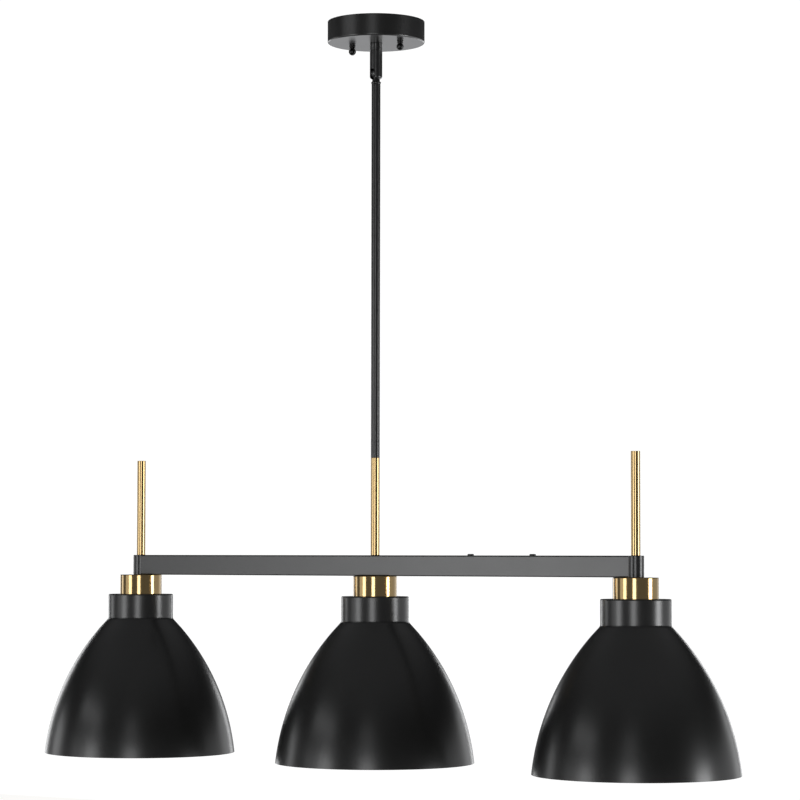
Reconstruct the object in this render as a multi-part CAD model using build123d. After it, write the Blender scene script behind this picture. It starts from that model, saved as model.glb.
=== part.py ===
from build123d import *
import os
from math import cos, hypot, pi, radians, sin, sqrt

# Linear island pendant: three spun shades under one rectangular bar, hung by a stack of
# rods from a round ceiling canopy through a hang-straight swivel.
# Millimetres. +X runs along the bar to the right-hand lamp, +Z is up, the front is -Y.
# z = 0 is the ceiling: the rim of the canopy and the top of the mounting strap.

# ---------------------------------------------------------------- fits
RUN_FIT = 0.05          # radial play of turning and threaded fits
HOLE_PLAY = 0.20        # radial play of a plain clearance hole

# ---------------------------------------------------------------- mounting straps
STRAP_W = 19.0
STRAP_T = 1.6
BOX_STRAP_L = 106.0     # lies across the bar, screwed to the outlet box
BOX_SLOT_SPACING = 79.4
BOX_SLOT_L = 15.0
BOX_SLOT_R = 2.5
PIVOT_R = 4.0           # boss on the box strap that the canopy strap turns on
RETAINER_R = 7.0
RETAINER_T = 1.0
CANOPY_STRAP_L = 86.0
STUD_SPACING = 70.0
STUD_R = 2.08
STUD_HEAD_R = 3.6
STUD_HEAD_T = 1.3
STUD_GRIP = 8.7         # length of stud that a canopy knob holds
STUD_NUT_FLATS = 8.0
STUD_NUT_T = 3.0
GROUND_SCREW_X = 14.0
GROUND_SCREW_R = 2.4
GROUND_HEAD_FLATS = 8.0
GROUND_HEAD_T = 3.6
GROUND_SCREW_TIP = 0.9  # thread showing above the strap

# ---------------------------------------------------------------- canopy
CANOPY_R = 60.0
CANOPY_H = 26.9
CANOPY_WALL = 1.0
CANOPY_EDGE_R = 2.0
KNOB_FLANGE_R = 3.95
KNOB_FLANGE_T = 1.1
KNOB_WAIST_R = 3.1
KNOB_NECK_H = 3.2
KNOB_BALL_R = 4.55
KNOB_BALL_SINK = 0.7    # how far the ball runs into its neck
KNOB_BORE_SPARE = 0.8

# ---------------------------------------------------------------- hollow threads
CANOPY_THREAD_R = 4.9   # nipple through the canopy, and one above each socket
CANOPY_THREAD_BORE = 3.1
CANOPY_NIPPLE_RISE = 1.6
ROD_THREAD_R = 4.0      # nipples between the rods
ROD_THREAD_BORE = 2.8
NIPPLE_GRIP = 7.0       # length of thread held by the swivel collar
SPREAD_WASHER_R = 16.0
SPREAD_WASHER_T = 1.2
TOOTH_WASHER_R = 9.0
TOOTH_WASHER_T = 0.8
TOOTH_COUNT = 10
CANOPY_NUT_FLATS = 15.0
CANOPY_NUT_T = 4.0

# ---------------------------------------------------------------- swivel
COLLAR_R = 7.9
COLLAR_H = 8.8
HOUSING_R = 7.7
HOUSING_H = 35.7
HOUSING_END_R = 3.2     # rounding of the housing's lower end
BALL_R = 6.1
BALL_ABOVE_END = 7.7    # ball centre above the housing's lower end
SPIGOT_L = 12.0
SNAP_RING_DROP = 7.3    # top of the snap ring's groove below the collar
SNAP_RING_T = 1.0
SNAP_GROOVE_H = 1.2
SNAP_GROOVE_DEPTH = 0.7
SNAP_GAP_DEG = 30.0
SLOT_PLAY = 0.1         # each side of the neck, as it tilts through the slot
SLOT_AZIMUTH = 252.0    # the side that the rod can tilt to, degrees from +X
STEM_R = 3.7
STEM_PLAY = 0.3         # round the stem, in the hole in the housing's end
STEM_GAP = 0.3          # below the housing, before the neck widens
STEM_TOP_R = 4.6
STEM_NECK_R = 4.9
STEM_NECK_H = 3.0
STEM_FLANGE_R = 6.15
STEM_FLANGE_DROP = 4.3  # flange centre line below the top of the neck
STEM_H = 6.0            # neck and flange together, down to the rod
STEM_FLANGE_EDGE = 0.6
STEM_BORE = 2.5
STEM_THREAD_L = 12.0

# ---------------------------------------------------------------- rods
ROD_R = 5.5
ROD_WALL = 1.45
UPPER_ROD_L = 152.4
LOWER_ROD_L = 310.0
BRASS_STEM_L = 119.6
ROD_NIPPLE_L = 20.0
END_ROD_L = 121.5
END_STUD_R = 3.0
END_STUD_GRIP = 16.0    # length of stud inside the end rod
END_STUD_SPARE = 2.0
END_NUT_FLATS = 10.0
END_NUT_T = 4.0

# ---------------------------------------------------------------- bar
LAMP_SPACING = 358.4
BAR_H = 25.4
BAR_D = 15.5
BAR_WALL = 1.5
BAR_EDGE_R = 1.2
SLEEVE_R = 9.75
NUT_T = 3.0             # thin lock nuts inside the bar
NUT_FLATS = 12.0
THREAD_SPARE = 1.0      # thread past a lock nut
COVER_X = 178.65
COVER_L = 105.0
COVER_W = 9.6
COVER_SCREW_SPACING = 85.3
COVER_SCREW_R = 2.0
COVER_HEAD_R = 3.85
COVER_HEAD_T = 1.8
COVER_HEAD_EDGE = 0.7
COVER_SCREW_L = 6.0
BRIDGE_L = 10.0
BRIDGE_T = 2.0
RECESS_L = 4.2
RECESS_W = 0.9
RECESS_DEPTH = 0.8
BLOCK_L = 24.0          # terminal block
BLOCK_W = 11.6
BLOCK_H = 16.0

# ---------------------------------------------------------------- lamps
CUP_R = 26.85
CUP_H = 24.9
CUP_WALL = 1.0
CUP_TOP_T = 1.2
CUP_EDGE_R = 1.0
SOCKET_R = 19.3
SOCKET_L = 50.0
SOCKET_TOP_T = 9.0
SOCKET_WALL = 5.3
CHAMBER_R = 12.0
CHAMBER_H = 7.0
PARTITION_T = 4.0
SHELL_R = 13.2          # inside of the lamp screw shell
SHELL_T = 0.7
SHELL_L = 26.3
CONTACT_R = 4.0
CONTACT_GAP = 1.0
RIVET_R = 1.5
RIVET_HEAD_R = 3.0
RIVET_HEAD_T = 1.0
SHADE_WALL = 1.0
SHADE_TOP_R = 41.5
SHADE_NECK_H = 31.4
SHADE_RIM_R = 121.7
SHADE_H = 202.8
SHADE_DOME_R = 292.4
SHADE_FILLET_R = 5.0
SHADE_EDGE_R = 1.6
SHADE_HOLE_PLAY = 1.0
SHADE_RING_R = 24.5
SHADE_RING_H = 7.0
SHADE_RING_GRIPS = 12
SHADE_RING_GRIP_R = 1.2

# ---------------------------------------------------------------- leads
SUPPLY_LEAD_R = 2.2
LAMP_LEAD_R = 1.5
LEAD_SIDE = 4.2         # left lead beside the middle of the bar
SUPPLY_RUN = 10.8       # supply lead below the bar's inner top
LAMP_RUN = 6.2          # lamp leads above the bar's inner floor
SUPPLY_BEND_R = 6.4
LAMP_BEND_R = 4.2
SIDE_BEND_R = 20.0
SIDE_SHIFT_NEAR = 22.0  # where the left lead is back in line, from the left lamp
SIDE_SHIFT_FAR = 40.0
LEAD_GAP = 0.3          # upper lead's end above the ball
CONDUCTOR_R = 0.9
CONDUCTOR_OFFSET = 1.2
CONDUCTOR_RISE = 5.0
CONDUCTOR_BEND_R = 3.5
CONDUCTOR_REACH = 18.0
CONNECTOR_R = 4.5
CONNECTOR_TIP_R = 2.8
CONNECTOR_L = 18.0
CONNECTOR_AZIMUTHS = (90.0, 210.0, 330.0)

# ---------------------------------------------------------------- heights worked out from these
BOX_STRAP_Z = -STRAP_T                     # underside of the box strap
CANOPY_STRAP_Z = BOX_STRAP_Z - STRAP_T     # underside of the canopy strap
CANOPY_FLOOR_Z = -CANOPY_H + CANOPY_WALL
NUT_TOP_Z = CANOPY_FLOOR_Z + SPREAD_WASHER_T + TOOTH_WASHER_T + CANOPY_NUT_T
NIPPLE_TOP_Z = NUT_TOP_Z + CANOPY_NIPPLE_RISE
COLLAR_END_Z = -CANOPY_H - COLLAR_H
HOUSING_END_Z = COLLAR_END_Z - HOUSING_H
BALL_Z = HOUSING_END_Z + BALL_ABOVE_END
NECK_Z = HOUSING_END_Z - STEM_GAP
STEM_HOLE_R = STEM_R + STEM_PLAY
SLOT_HALF = STEM_NECK_R + SLOT_PLAY
UPPER_ROD_Z = NECK_Z - STEM_H
LOWER_ROD_Z = UPPER_ROD_Z - UPPER_ROD_L
BRASS_STEM_Z = LOWER_ROD_Z - LOWER_ROD_L
BAR_TOP_Z = BRASS_STEM_Z - BRASS_STEM_L
BAR_ROOF_Z = BAR_TOP_Z - BAR_WALL
BAR_END_Z = BAR_TOP_Z - BAR_H
BAR_FLOOR_Z = BAR_END_Z + BAR_WALL
CUP_END_Z = BAR_END_Z - CUP_H
SOCKET_Z = BAR_END_Z - CUP_TOP_T
CHAMBER_Z = SOCKET_Z - SOCKET_TOP_T
PARTITION_Z = CHAMBER_Z - CHAMBER_H
SHELL_Z = PARTITION_Z - PARTITION_T
SOCKET_END_Z = SOCKET_Z - SOCKET_L
SHADE_NECK_Z = CUP_END_Z - SHADE_NECK_H
SHADE_RIM_Z = CUP_END_Z - SHADE_H
ROD_BORE = ROD_R - ROD_WALL
HOUSING_BORE = BALL_R + RUN_FIT
LAMP_NIPPLE_TOP_Z = BAR_FLOOR_Z + NUT_T + THREAD_SPARE
SUPPLY_RUN_Z = BAR_ROOF_Z - SUPPLY_RUN
LAMP_RUN_Z = BAR_FLOOR_Z + LAMP_RUN
BLOCK_X = COVER_X
LAMPS = {"left": -LAMP_SPACING, "center": 0.0, "right": LAMP_SPACING}
ENDS = {"left": -LAMP_SPACING, "right": LAMP_SPACING}


def disc(radius, top, bottom, x=0.0, y=0.0):
    """Solid cylinder between two heights."""
    return Pos(x, y, (top + bottom) / 2) * Cylinder(radius, top - bottom)


def tube(outer, inner, top, bottom, x=0.0, y=0.0):
    """Hollow cylinder between two heights."""
    return disc(outer, top, bottom, x, y) - disc(inner, top, bottom, x, y)


def block(x_size, y_size, top, bottom, x=0.0, y=0.0):
    """Box between two heights."""
    return Pos(x, y, (top + bottom) / 2) * Box(x_size, y_size, top - bottom)


def hexagon(flats, top, bottom, x=0.0, y=0.0):
    """Hexagonal prism with its flats facing +Y and -Y."""
    outline = RegularPolygon(flats / 2, 6, major_radius=False)
    return Pos(x, y, bottom) * extrude(outline, top - bottom)


def nut(flats, thread_r, top, bottom, x=0.0, y=0.0):
    """Hexagonal nut on a thread."""
    return hexagon(flats, top, bottom, x, y) - disc(thread_r + RUN_FIT, top, bottom, x, y)


def turned(points):
    """Solid of revolution about Z from a closed outline of (radius, height) points."""
    return revolve(Plane.XZ * make_face(Polyline(*points, close=True)), Axis.Z)


def corner_nearest(shape, radius, height):
    """The corner of a flat outline that is nearest to a place in it."""
    return shape.vertices().sort_by_distance((radius, height, 0))[0]


def lead(points, radii, wire_r):
    """Round lead along straight runs joined by arcs."""
    path = FilletPolyline(*points, radius=radii) if radii else Line(*points)
    return sweep(Plane(origin=path @ 0, z_dir=path % 0) * Circle(wire_r), path=path)


def group(solids):
    """Several separate solids as one shape."""
    return Compound(children=[s if isinstance(s, Solid) else s.solid() for s in solids])


def save(shape, name):
    export_step(shape, f"parts/{name}.step")


def pan_screw(head_r, head_t, shank_r, length, x, seat_z):
    """Pan-head screw with a cross recess, its head standing on seat_z."""
    top = seat_z + head_t
    head = disc(head_r, top, seat_z, x)
    head = fillet(head.edges().group_by(Axis.Z)[-1], COVER_HEAD_EDGE)
    head -= block(RECESS_L, RECESS_W, top, top - RECESS_DEPTH, x)
    head -= block(RECESS_W, RECESS_L, top, top - RECESS_DEPTH, x)
    return head + disc(shank_r, seat_z, seat_z - length, x)


# ---------------------------------------------------------------- ceiling hardware


def box_strap():
    strap = block(STRAP_W, BOX_STRAP_L, 0, BOX_STRAP_Z)
    strap += disc(PIVOT_R, BOX_STRAP_Z, CANOPY_STRAP_Z - RETAINER_T)
    slot = extrude(SlotOverall(BOX_SLOT_L, 2 * BOX_SLOT_R, rotation=90), STRAP_T)
    for side in (-1, 1):
        strap -= Pos(0, side * BOX_SLOT_SPACING / 2, BOX_STRAP_Z) * slot
    return strap


def canopy_strap():
    strap = block(CANOPY_STRAP_L, STRAP_W, BOX_STRAP_Z, CANOPY_STRAP_Z)
    strap -= disc(PIVOT_R + RUN_FIT, BOX_STRAP_Z, CANOPY_STRAP_Z)
    for side in (-1, 1):
        strap -= disc(STUD_R + RUN_FIT, BOX_STRAP_Z, CANOPY_STRAP_Z, side * STUD_SPACING / 2)
    return strap - disc(GROUND_SCREW_R + RUN_FIT, BOX_STRAP_Z, CANOPY_STRAP_Z, GROUND_SCREW_X)


def strap_retainer():
    return tube(RETAINER_R, PIVOT_R + RUN_FIT, CANOPY_STRAP_Z, CANOPY_STRAP_Z - RETAINER_T)


def ground_screw():
    head = hexagon(GROUND_HEAD_FLATS, CANOPY_STRAP_Z, CANOPY_STRAP_Z - GROUND_HEAD_T, GROUND_SCREW_X)
    tip = BOX_STRAP_Z + GROUND_SCREW_TIP
    return head + disc(GROUND_SCREW_R, tip, CANOPY_STRAP_Z, GROUND_SCREW_X)


def canopy_studs():
    studs = []
    for side in (-1, 1):
        x = side * STUD_SPACING / 2
        head = disc(STUD_HEAD_R, BOX_STRAP_Z + STUD_HEAD_T, BOX_STRAP_Z, x)
        studs.append(head + disc(STUD_R, BOX_STRAP_Z, -CANOPY_H - STUD_GRIP, x))
    return group(studs)


def stud_nuts():
    bottom = CANOPY_STRAP_Z - STUD_NUT_T
    places = [side * STUD_SPACING / 2 for side in (-1, 1)]
    return group(nut(STUD_NUT_FLATS, STUD_R, CANOPY_STRAP_Z, bottom, x) for x in places)


# ---------------------------------------------------------------- canopy


def canopy():
    shell = disc(CANOPY_R, 0, -CANOPY_H)
    shell = fillet(shell.edges().group_by(Axis.Z)[0], CANOPY_EDGE_R)
    hollow = disc(CANOPY_R - CANOPY_WALL, 0, CANOPY_FLOOR_Z)
    shell -= fillet(hollow.edges().group_by(Axis.Z)[0], CANOPY_EDGE_R - CANOPY_WALL)
    shell -= disc(CANOPY_THREAD_R + HOLE_PLAY, CANOPY_FLOOR_Z, -CANOPY_H)
    for side in (-1, 1):
        shell -= disc(STUD_R + HOLE_PLAY, CANOPY_FLOOR_Z, -CANOPY_H, side * STUD_SPACING / 2)
    return shell


def canopy_knob(x):
    """Thumb nut on a canopy stud: flange, waist and ball."""
    top = -CANOPY_H
    neck_end = top - KNOB_NECK_H
    waist_top = top - KNOB_FLANGE_T
    waist_end = neck_end + KNOB_FLANGE_T
    neck = turned([
        (0, top), (KNOB_FLANGE_R, top), (KNOB_FLANGE_R, waist_top), (KNOB_WAIST_R, waist_top),
        (KNOB_WAIST_R, waist_end), (KNOB_FLANGE_R, waist_end), (KNOB_FLANGE_R, neck_end), (0, neck_end),
    ])
    ball = Pos(0, 0, neck_end + KNOB_BALL_SINK - KNOB_BALL_R) * Sphere(KNOB_BALL_R)
    bore = disc(STUD_R + RUN_FIT, top, top - STUD_GRIP - KNOB_BORE_SPARE)
    return Pos(x, 0, 0) * (neck + ball - bore)


def canopy_nipple():
    return tube(CANOPY_THREAD_R, CANOPY_THREAD_BORE, NIPPLE_TOP_Z, -CANOPY_H - NIPPLE_GRIP)


def spread_washer():
    top = CANOPY_FLOOR_Z + SPREAD_WASHER_T
    return tube(SPREAD_WASHER_R, CANOPY_THREAD_R + HOLE_PLAY, top, CANOPY_FLOOR_Z)


def tooth_washer():
    bottom = CANOPY_FLOOR_Z + SPREAD_WASHER_T
    top = bottom + TOOTH_WASHER_T
    washer = tube(TOOTH_WASHER_R, CANOPY_THREAD_R + HOLE_PLAY, top, bottom)
    notch = block(TOOTH_WASHER_R / 4, TOOTH_WASHER_R / 6, top, bottom, TOOTH_WASHER_R)
    for turn in range(TOOTH_COUNT):
        washer -= Rot(0, 0, turn * 360 / TOOTH_COUNT) * notch
    return washer


def canopy_nut():
    return nut(CANOPY_NUT_FLATS, CANOPY_THREAD_R, NUT_TOP_Z, NUT_TOP_Z - CANOPY_NUT_T)


def supply_lead_upper():
    """Jacketed lead down to the ball, and its three bared conductors in the canopy."""
    ball_top = BALL_Z + BALL_R + LEAD_GAP
    run_z = NIPPLE_TOP_Z + CONDUCTOR_RISE
    solids = [disc(SUPPLY_LEAD_R, NIPPLE_TOP_Z, ball_top)]
    for azimuth in CONNECTOR_AZIMUTHS:
        out = Vector(cos(radians(azimuth)), sin(radians(azimuth)), 0)
        start = out * CONDUCTOR_OFFSET
        points = [
            start + Vector(0, 0, NIPPLE_TOP_Z),
            start + Vector(0, 0, run_z),
            out * CONDUCTOR_REACH + Vector(0, 0, run_z),
        ]
        solids.append(lead(points, [CONDUCTOR_BEND_R], CONDUCTOR_R))
    return group(solids)


def wire_connectors():
    """Twist-on connectors on the conductors, lying flat round the nipple."""
    run_z = NIPPLE_TOP_Z + CONDUCTOR_RISE
    cones = []
    for azimuth in CONNECTOR_AZIMUTHS:
        cone = Cone(CONNECTOR_R, CONNECTOR_TIP_R, CONNECTOR_L)
        centre = CONDUCTOR_REACH + CONNECTOR_L / 2
        cones.append(Rot(0, 0, azimuth) * Pos(centre, 0, run_z) * Rot(0, 90, 0) * cone)
    return group(cones)


# ---------------------------------------------------------------- swivel


def swivel_collar():
    """Collar on the canopy nipple, with the spigot that the housing turns on."""
    spigot_end = COLLAR_END_Z - SPIGOT_L
    collar = disc(COLLAR_R, -CANOPY_H, COLLAR_END_Z) + disc(BALL_R, COLLAR_END_Z, spigot_end)
    collar -= disc(CANOPY_THREAD_R + RUN_FIT, -CANOPY_H, -CANOPY_H - NIPPLE_GRIP)
    collar -= disc(CANOPY_THREAD_BORE, -CANOPY_H - NIPPLE_GRIP, spigot_end)
    groove_top = COLLAR_END_Z - SNAP_RING_DROP
    return collar - tube(BALL_R, BALL_R - SNAP_GROOVE_DEPTH, groove_top, groove_top - SNAP_GROOVE_H)


def swivel_snap_ring():
    top = COLLAR_END_Z - SNAP_RING_DROP - (SNAP_GROOVE_H - SNAP_RING_T) / 2
    outer = BALL_R + SNAP_GROOVE_DEPTH - RUN_FIT
    ring = tube(outer, BALL_R - SNAP_GROOVE_DEPTH + RUN_FIT, top, top - SNAP_RING_T)
    gap = 2 * outer * sin(radians(SNAP_GAP_DEG / 2))
    return ring - block(outer, gap, top, top - SNAP_RING_T, outer)


def swivel_housing():
    """Turning housing with the ball seat and the slot that the stem tilts into."""
    housing = disc(HOUSING_R, COLLAR_END_Z, HOUSING_END_Z)
    housing = fillet(housing.edges().group_by(Axis.Z)[0], HOUSING_END_R)
    housing -= disc(HOUSING_BORE, COLLAR_END_Z, BALL_Z)
    groove_top = COLLAR_END_Z - SNAP_RING_DROP
    groove_r = HOUSING_BORE + SNAP_GROOVE_DEPTH
    housing -= disc(groove_r, groove_top, groove_top - SNAP_GROOVE_H)
    housing -= Pos(0, 0, BALL_Z) * Sphere(HOUSING_BORE)
    housing -= disc(STEM_HOLE_R, BALL_Z, HOUSING_END_Z)
    slot = block(HOUSING_R, 2 * SLOT_HALF, BALL_Z, HOUSING_END_Z, HOUSING_R / 2)
    slot += Pos(HOUSING_R / 2, 0, BALL_Z) * Rot(0, 90, 0) * Cylinder(SLOT_HALF, HOUSING_R)
    return housing - Rot(0, 0, SLOT_AZIMUTH) * slot


def swivel_ball_stem():
    """Ball, stem, neck and flange in one turning, threaded into the upper rod."""
    flange_z = NECK_Z - STEM_FLANGE_DROP
    edge = STEM_FLANGE_EDGE
    stem = turned([
        (0, BALL_Z), (STEM_R, BALL_Z), (STEM_R, NECK_Z), (STEM_TOP_R, NECK_Z),
        (STEM_NECK_R, NECK_Z - STEM_NECK_H), (STEM_FLANGE_R - edge, flange_z + 2 * edge),
        (STEM_FLANGE_R, flange_z + edge), (STEM_FLANGE_R, flange_z - edge),
        (ROD_R, UPPER_ROD_Z), (0, UPPER_ROD_Z),
    ])
    stem += Pos(0, 0, BALL_Z) * Sphere(BALL_R)
    stem += disc(ROD_THREAD_R, UPPER_ROD_Z, UPPER_ROD_Z - STEM_THREAD_L)
    return stem - disc(STEM_BORE, BALL_Z + BALL_R, UPPER_ROD_Z - STEM_THREAD_L)


# ---------------------------------------------------------------- rods and supply lead


def rod(top, length):
    return tube(ROD_R, ROD_BORE, top, top - length)


def downrod_nipples():
    joints = (LOWER_ROD_Z, BRASS_STEM_Z)
    half = ROD_NIPPLE_L / 2
    return group(tube(ROD_THREAD_R, ROD_THREAD_BORE, z + half, z - half) for z in joints)


def stem_nipple():
    top = BAR_TOP_Z + ROD_NIPPLE_L / 2
    return tube(ROD_THREAD_R, ROD_THREAD_BORE, top, BAR_ROOF_Z - NUT_T - THREAD_SPARE)


def stem_lock_nut():
    return nut(NUT_FLATS, ROD_THREAD_R, BAR_ROOF_Z, BAR_ROOF_Z - NUT_T)


def supply_lead_lower():
    """Jacketed lead from the ball through the rods, then along the bar to the block."""
    top = BALL_Z + sqrt(BALL_R**2 - STEM_BORE**2) - LEAD_GAP
    block_face = BLOCK_X - BLOCK_L / 2
    points = [(0, 0, top), (0, 0, SUPPLY_RUN_Z), (block_face, 0, SUPPLY_RUN_Z)]
    return lead(points, [SUPPLY_BEND_R], SUPPLY_LEAD_R)


# ---------------------------------------------------------------- bar


def bar_tube():
    """Rectangular tube coped round the end sleeves."""
    length = 2 * LAMP_SPACING
    bar = block(length, BAR_D, BAR_TOP_Z, BAR_END_Z)
    bar = fillet(bar.edges().filter_by(Axis.X), BAR_EDGE_R)
    bar -= block(length, BAR_D - 2 * BAR_WALL, BAR_ROOF_Z, BAR_FLOOR_Z)
    for x in ENDS.values():
        bar -= disc(SLEEVE_R, BAR_TOP_Z, BAR_END_Z, x)
    bar -= disc(ROD_THREAD_R + HOLE_PLAY, BAR_TOP_Z, BAR_ROOF_Z)
    bar -= disc(CANOPY_THREAD_R + HOLE_PLAY, BAR_FLOOR_Z, BAR_END_Z)
    return bar - block(COVER_L, COVER_W, BAR_TOP_Z, BAR_ROOF_Z, COVER_X)


def bar_end_sleeve(x):
    """Upright round end of the bar: end rod above, lamp below, open to the bar inside."""
    inner = SLEEVE_R - BAR_WALL
    sleeve = disc(SLEEVE_R, BAR_TOP_Z, BAR_END_Z, x) - disc(inner, BAR_ROOF_Z, BAR_FLOOR_Z, x)
    inward = -1 if x > 0 else 1
    window_x = x + inward * SLEEVE_R / 2
    sleeve -= block(SLEEVE_R, BAR_D - 2 * BAR_WALL, BAR_ROOF_Z, BAR_FLOOR_Z, window_x)
    sleeve -= disc(END_STUD_R + HOLE_PLAY, BAR_TOP_Z, BAR_ROOF_Z, x)
    return sleeve - disc(CANOPY_THREAD_R + HOLE_PLAY, BAR_FLOOR_Z, BAR_END_Z, x)


def cover_screw_places():
    return [COVER_X + side * COVER_SCREW_SPACING / 2 for side in (-1, 1)]


def bar_access_cover():
    """Flush cover of the wiring space, between the middle and the right-hand lamp."""
    length = COVER_L - 2 * HOLE_PLAY
    cover = block(length, COVER_W - 2 * HOLE_PLAY, BAR_TOP_Z, BAR_ROOF_Z, COVER_X)
    for x in cover_screw_places():
        cover -= disc(COVER_SCREW_R + HOLE_PLAY, BAR_TOP_Z, BAR_ROOF_Z, x)
    return cover


def cover_bridges():
    """Threaded strips under the roof of the bar that the cover is screwed to."""
    bottom = BAR_ROOF_Z - BRIDGE_T
    bridges = []
    for x in cover_screw_places():
        strip = block(BRIDGE_L, BAR_D - 2 * BAR_WALL, BAR_ROOF_Z, bottom, x)
        bridges.append(strip - disc(COVER_SCREW_R + RUN_FIT, BAR_ROOF_Z, bottom, x))
    return group(bridges)


def cover_screws():
    sizes = (COVER_HEAD_R, COVER_HEAD_T, COVER_SCREW_R, COVER_SCREW_L)
    return group(pan_screw(*sizes, x, BAR_TOP_Z) for x in cover_screw_places())


def terminal_block():
    return block(BLOCK_L, BLOCK_W, BAR_FLOOR_Z + BLOCK_H, BAR_FLOOR_Z, BLOCK_X)


def end_rod(x):
    """Plain rod with a blind threaded hole in its foot."""
    hole_top = BAR_TOP_Z + END_STUD_GRIP + END_STUD_SPARE
    rod_solid = disc(ROD_R, BAR_TOP_Z + END_ROD_L, BAR_TOP_Z, x)
    return rod_solid - disc(END_STUD_R + RUN_FIT, hole_top, BAR_TOP_Z, x)


def end_rod_studs():
    bottom = BAR_ROOF_Z - END_NUT_T - THREAD_SPARE
    return group(disc(END_STUD_R, BAR_TOP_Z + END_STUD_GRIP, bottom, x) for x in ENDS.values())


def end_rod_nuts():
    bottom = BAR_ROOF_Z - END_NUT_T
    return group(nut(END_NUT_FLATS, END_STUD_R, BAR_ROOF_Z, bottom, x) for x in ENDS.values())


# ---------------------------------------------------------------- lamps


def lamp_nipples():
    sizes = (CANOPY_THREAD_R, CANOPY_THREAD_BORE, LAMP_NIPPLE_TOP_Z, CHAMBER_Z)
    return group(tube(*sizes, x) for x in LAMPS.values())


def lamp_lock_nuts():
    top = BAR_FLOOR_Z + NUT_T
    return group(nut(NUT_FLATS, CANOPY_THREAD_R, top, BAR_FLOOR_Z, x) for x in LAMPS.values())


def lamp_lead(name):
    """Lead from the terminal block along the bar and down into one socket."""
    x = LAMPS[name]
    z = LAMP_RUN_Z
    end = (x, 0, PARTITION_Z + RIVET_HEAD_T)
    if name == "left":
        points = [
            (BLOCK_X - BLOCK_L / 2, LEAD_SIDE, z), (x + SIDE_SHIFT_FAR, LEAD_SIDE, z),
            (x + SIDE_SHIFT_NEAR, 0, z), (x, 0, z), end,
        ]
        return lead(points, [SIDE_BEND_R, SIDE_BEND_R, LAMP_BEND_R], LAMP_LEAD_R)
    side = 1 if x > BLOCK_X else -1
    start = (BLOCK_X + side * BLOCK_L / 2, 0, z)
    return lead([start, (x, 0, z), end], [LAMP_BEND_R], LAMP_LEAD_R)


def cup(x):
    """Spun brass cup over the socket."""
    shell = disc(CUP_R, BAR_END_Z, CUP_END_Z)
    shell = fillet(shell.edges().group_by(Axis.Z)[-1], CUP_EDGE_R)
    shell -= disc(CUP_R - CUP_WALL, SOCKET_Z, CUP_END_Z)
    return Pos(x, 0, 0) * (shell - disc(CANOPY_THREAD_R + HOLE_PLAY, BAR_END_Z, SOCKET_Z))


def socket_body(x):
    """Moulded socket: thread hole above, terminal chamber, and the bore of the screw shell."""
    body = disc(SOCKET_R, SOCKET_Z, SOCKET_END_Z)
    body -= disc(CANOPY_THREAD_R + RUN_FIT, SOCKET_Z, CHAMBER_Z)
    body -= disc(CHAMBER_R, CHAMBER_Z, PARTITION_Z)
    body -= disc(RIVET_R + RUN_FIT, PARTITION_Z, SHELL_Z)
    return Pos(x, 0, 0) * (body - disc(SOCKET_R - SOCKET_WALL, SHELL_Z, SOCKET_END_Z))


def screw_shell(x):
    """Thin metal shell that the lamp screws into, open round the contact."""
    shell = disc(SHELL_R + SHELL_T, SHELL_Z, SHELL_Z - SHELL_L)
    shell -= disc(SHELL_R, SHELL_Z - SHELL_T, SHELL_Z - SHELL_L)
    return Pos(x, 0, 0) * (shell - disc(CONTACT_R + CONTACT_GAP, SHELL_Z, SHELL_Z - SHELL_T))


def socket_contacts():
    """Centre contacts riveted through the socket partitions."""
    contacts = []
    for x in LAMPS.values():
        head = disc(RIVET_HEAD_R, PARTITION_Z + RIVET_HEAD_T, PARTITION_Z, x)
        shank = disc(RIVET_R, PARTITION_Z, SHELL_Z, x)
        contacts.append(head + shank + disc(CONTACT_R, SHELL_Z, SHELL_Z - SHELL_T, x))
    return group(contacts)


def dome_centre():
    """Centre of the arc from the foot of the neck to the rim, as (radius, height)."""
    foot, rim = (SHADE_TOP_R, SHADE_NECK_Z), (SHADE_RIM_R, SHADE_RIM_Z)
    half = hypot(rim[0] - foot[0], rim[1] - foot[1]) / 2
    along = ((rim[0] - foot[0]) / (2 * half), (rim[1] - foot[1]) / (2 * half))
    inward = sqrt(SHADE_DOME_R**2 - half**2)
    middle = ((foot[0] + rim[0]) / 2, (foot[1] + rim[1]) / 2)
    return middle[0] + along[1] * inward, middle[1] - along[0] * inward


def shade_outline(inset, edge_r):
    """Half section of the shade, filled to its axis and set in from its outer face."""
    centre_r, centre_z = dome_centre()
    radius = SHADE_DOME_R - inset
    neck_r = SHADE_TOP_R - inset
    top = CUP_END_Z - inset
    foot_z = centre_z + sqrt(radius**2 - (neck_r - centre_r) ** 2)
    rim_r = centre_r + sqrt(radius**2 - (SHADE_RIM_Z - centre_z) ** 2)
    mid_z = (foot_z + SHADE_RIM_Z) / 2
    mid_r = centre_r + sqrt(radius**2 - (mid_z - centre_z) ** 2)
    walls = Polyline((rim_r, SHADE_RIM_Z), (0, SHADE_RIM_Z), (0, top), (neck_r, top), (neck_r, foot_z))
    outline = make_face(walls + ThreePointArc((neck_r, foot_z), (mid_r, mid_z), (rim_r, SHADE_RIM_Z)))
    outline = fillet(corner_nearest(outline, neck_r, foot_z), SHADE_FILLET_R + inset)
    return fillet(corner_nearest(outline, neck_r, top), edge_r)


def shade(x):
    """Spun bell shade: flat top with the socket hole, straight neck, domed skirt."""
    outer = revolve(Plane.XZ * shade_outline(0, SHADE_EDGE_R), Axis.Z)
    inner = revolve(Plane.XZ * shade_outline(SHADE_WALL, SHADE_EDGE_R - SHADE_WALL), Axis.Z)
    hole = disc(SOCKET_R + SHADE_HOLE_PLAY, CUP_END_Z, CUP_END_Z - SHADE_WALL)
    return Pos(x, 0, 0) * (outer - inner - hole)


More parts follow.
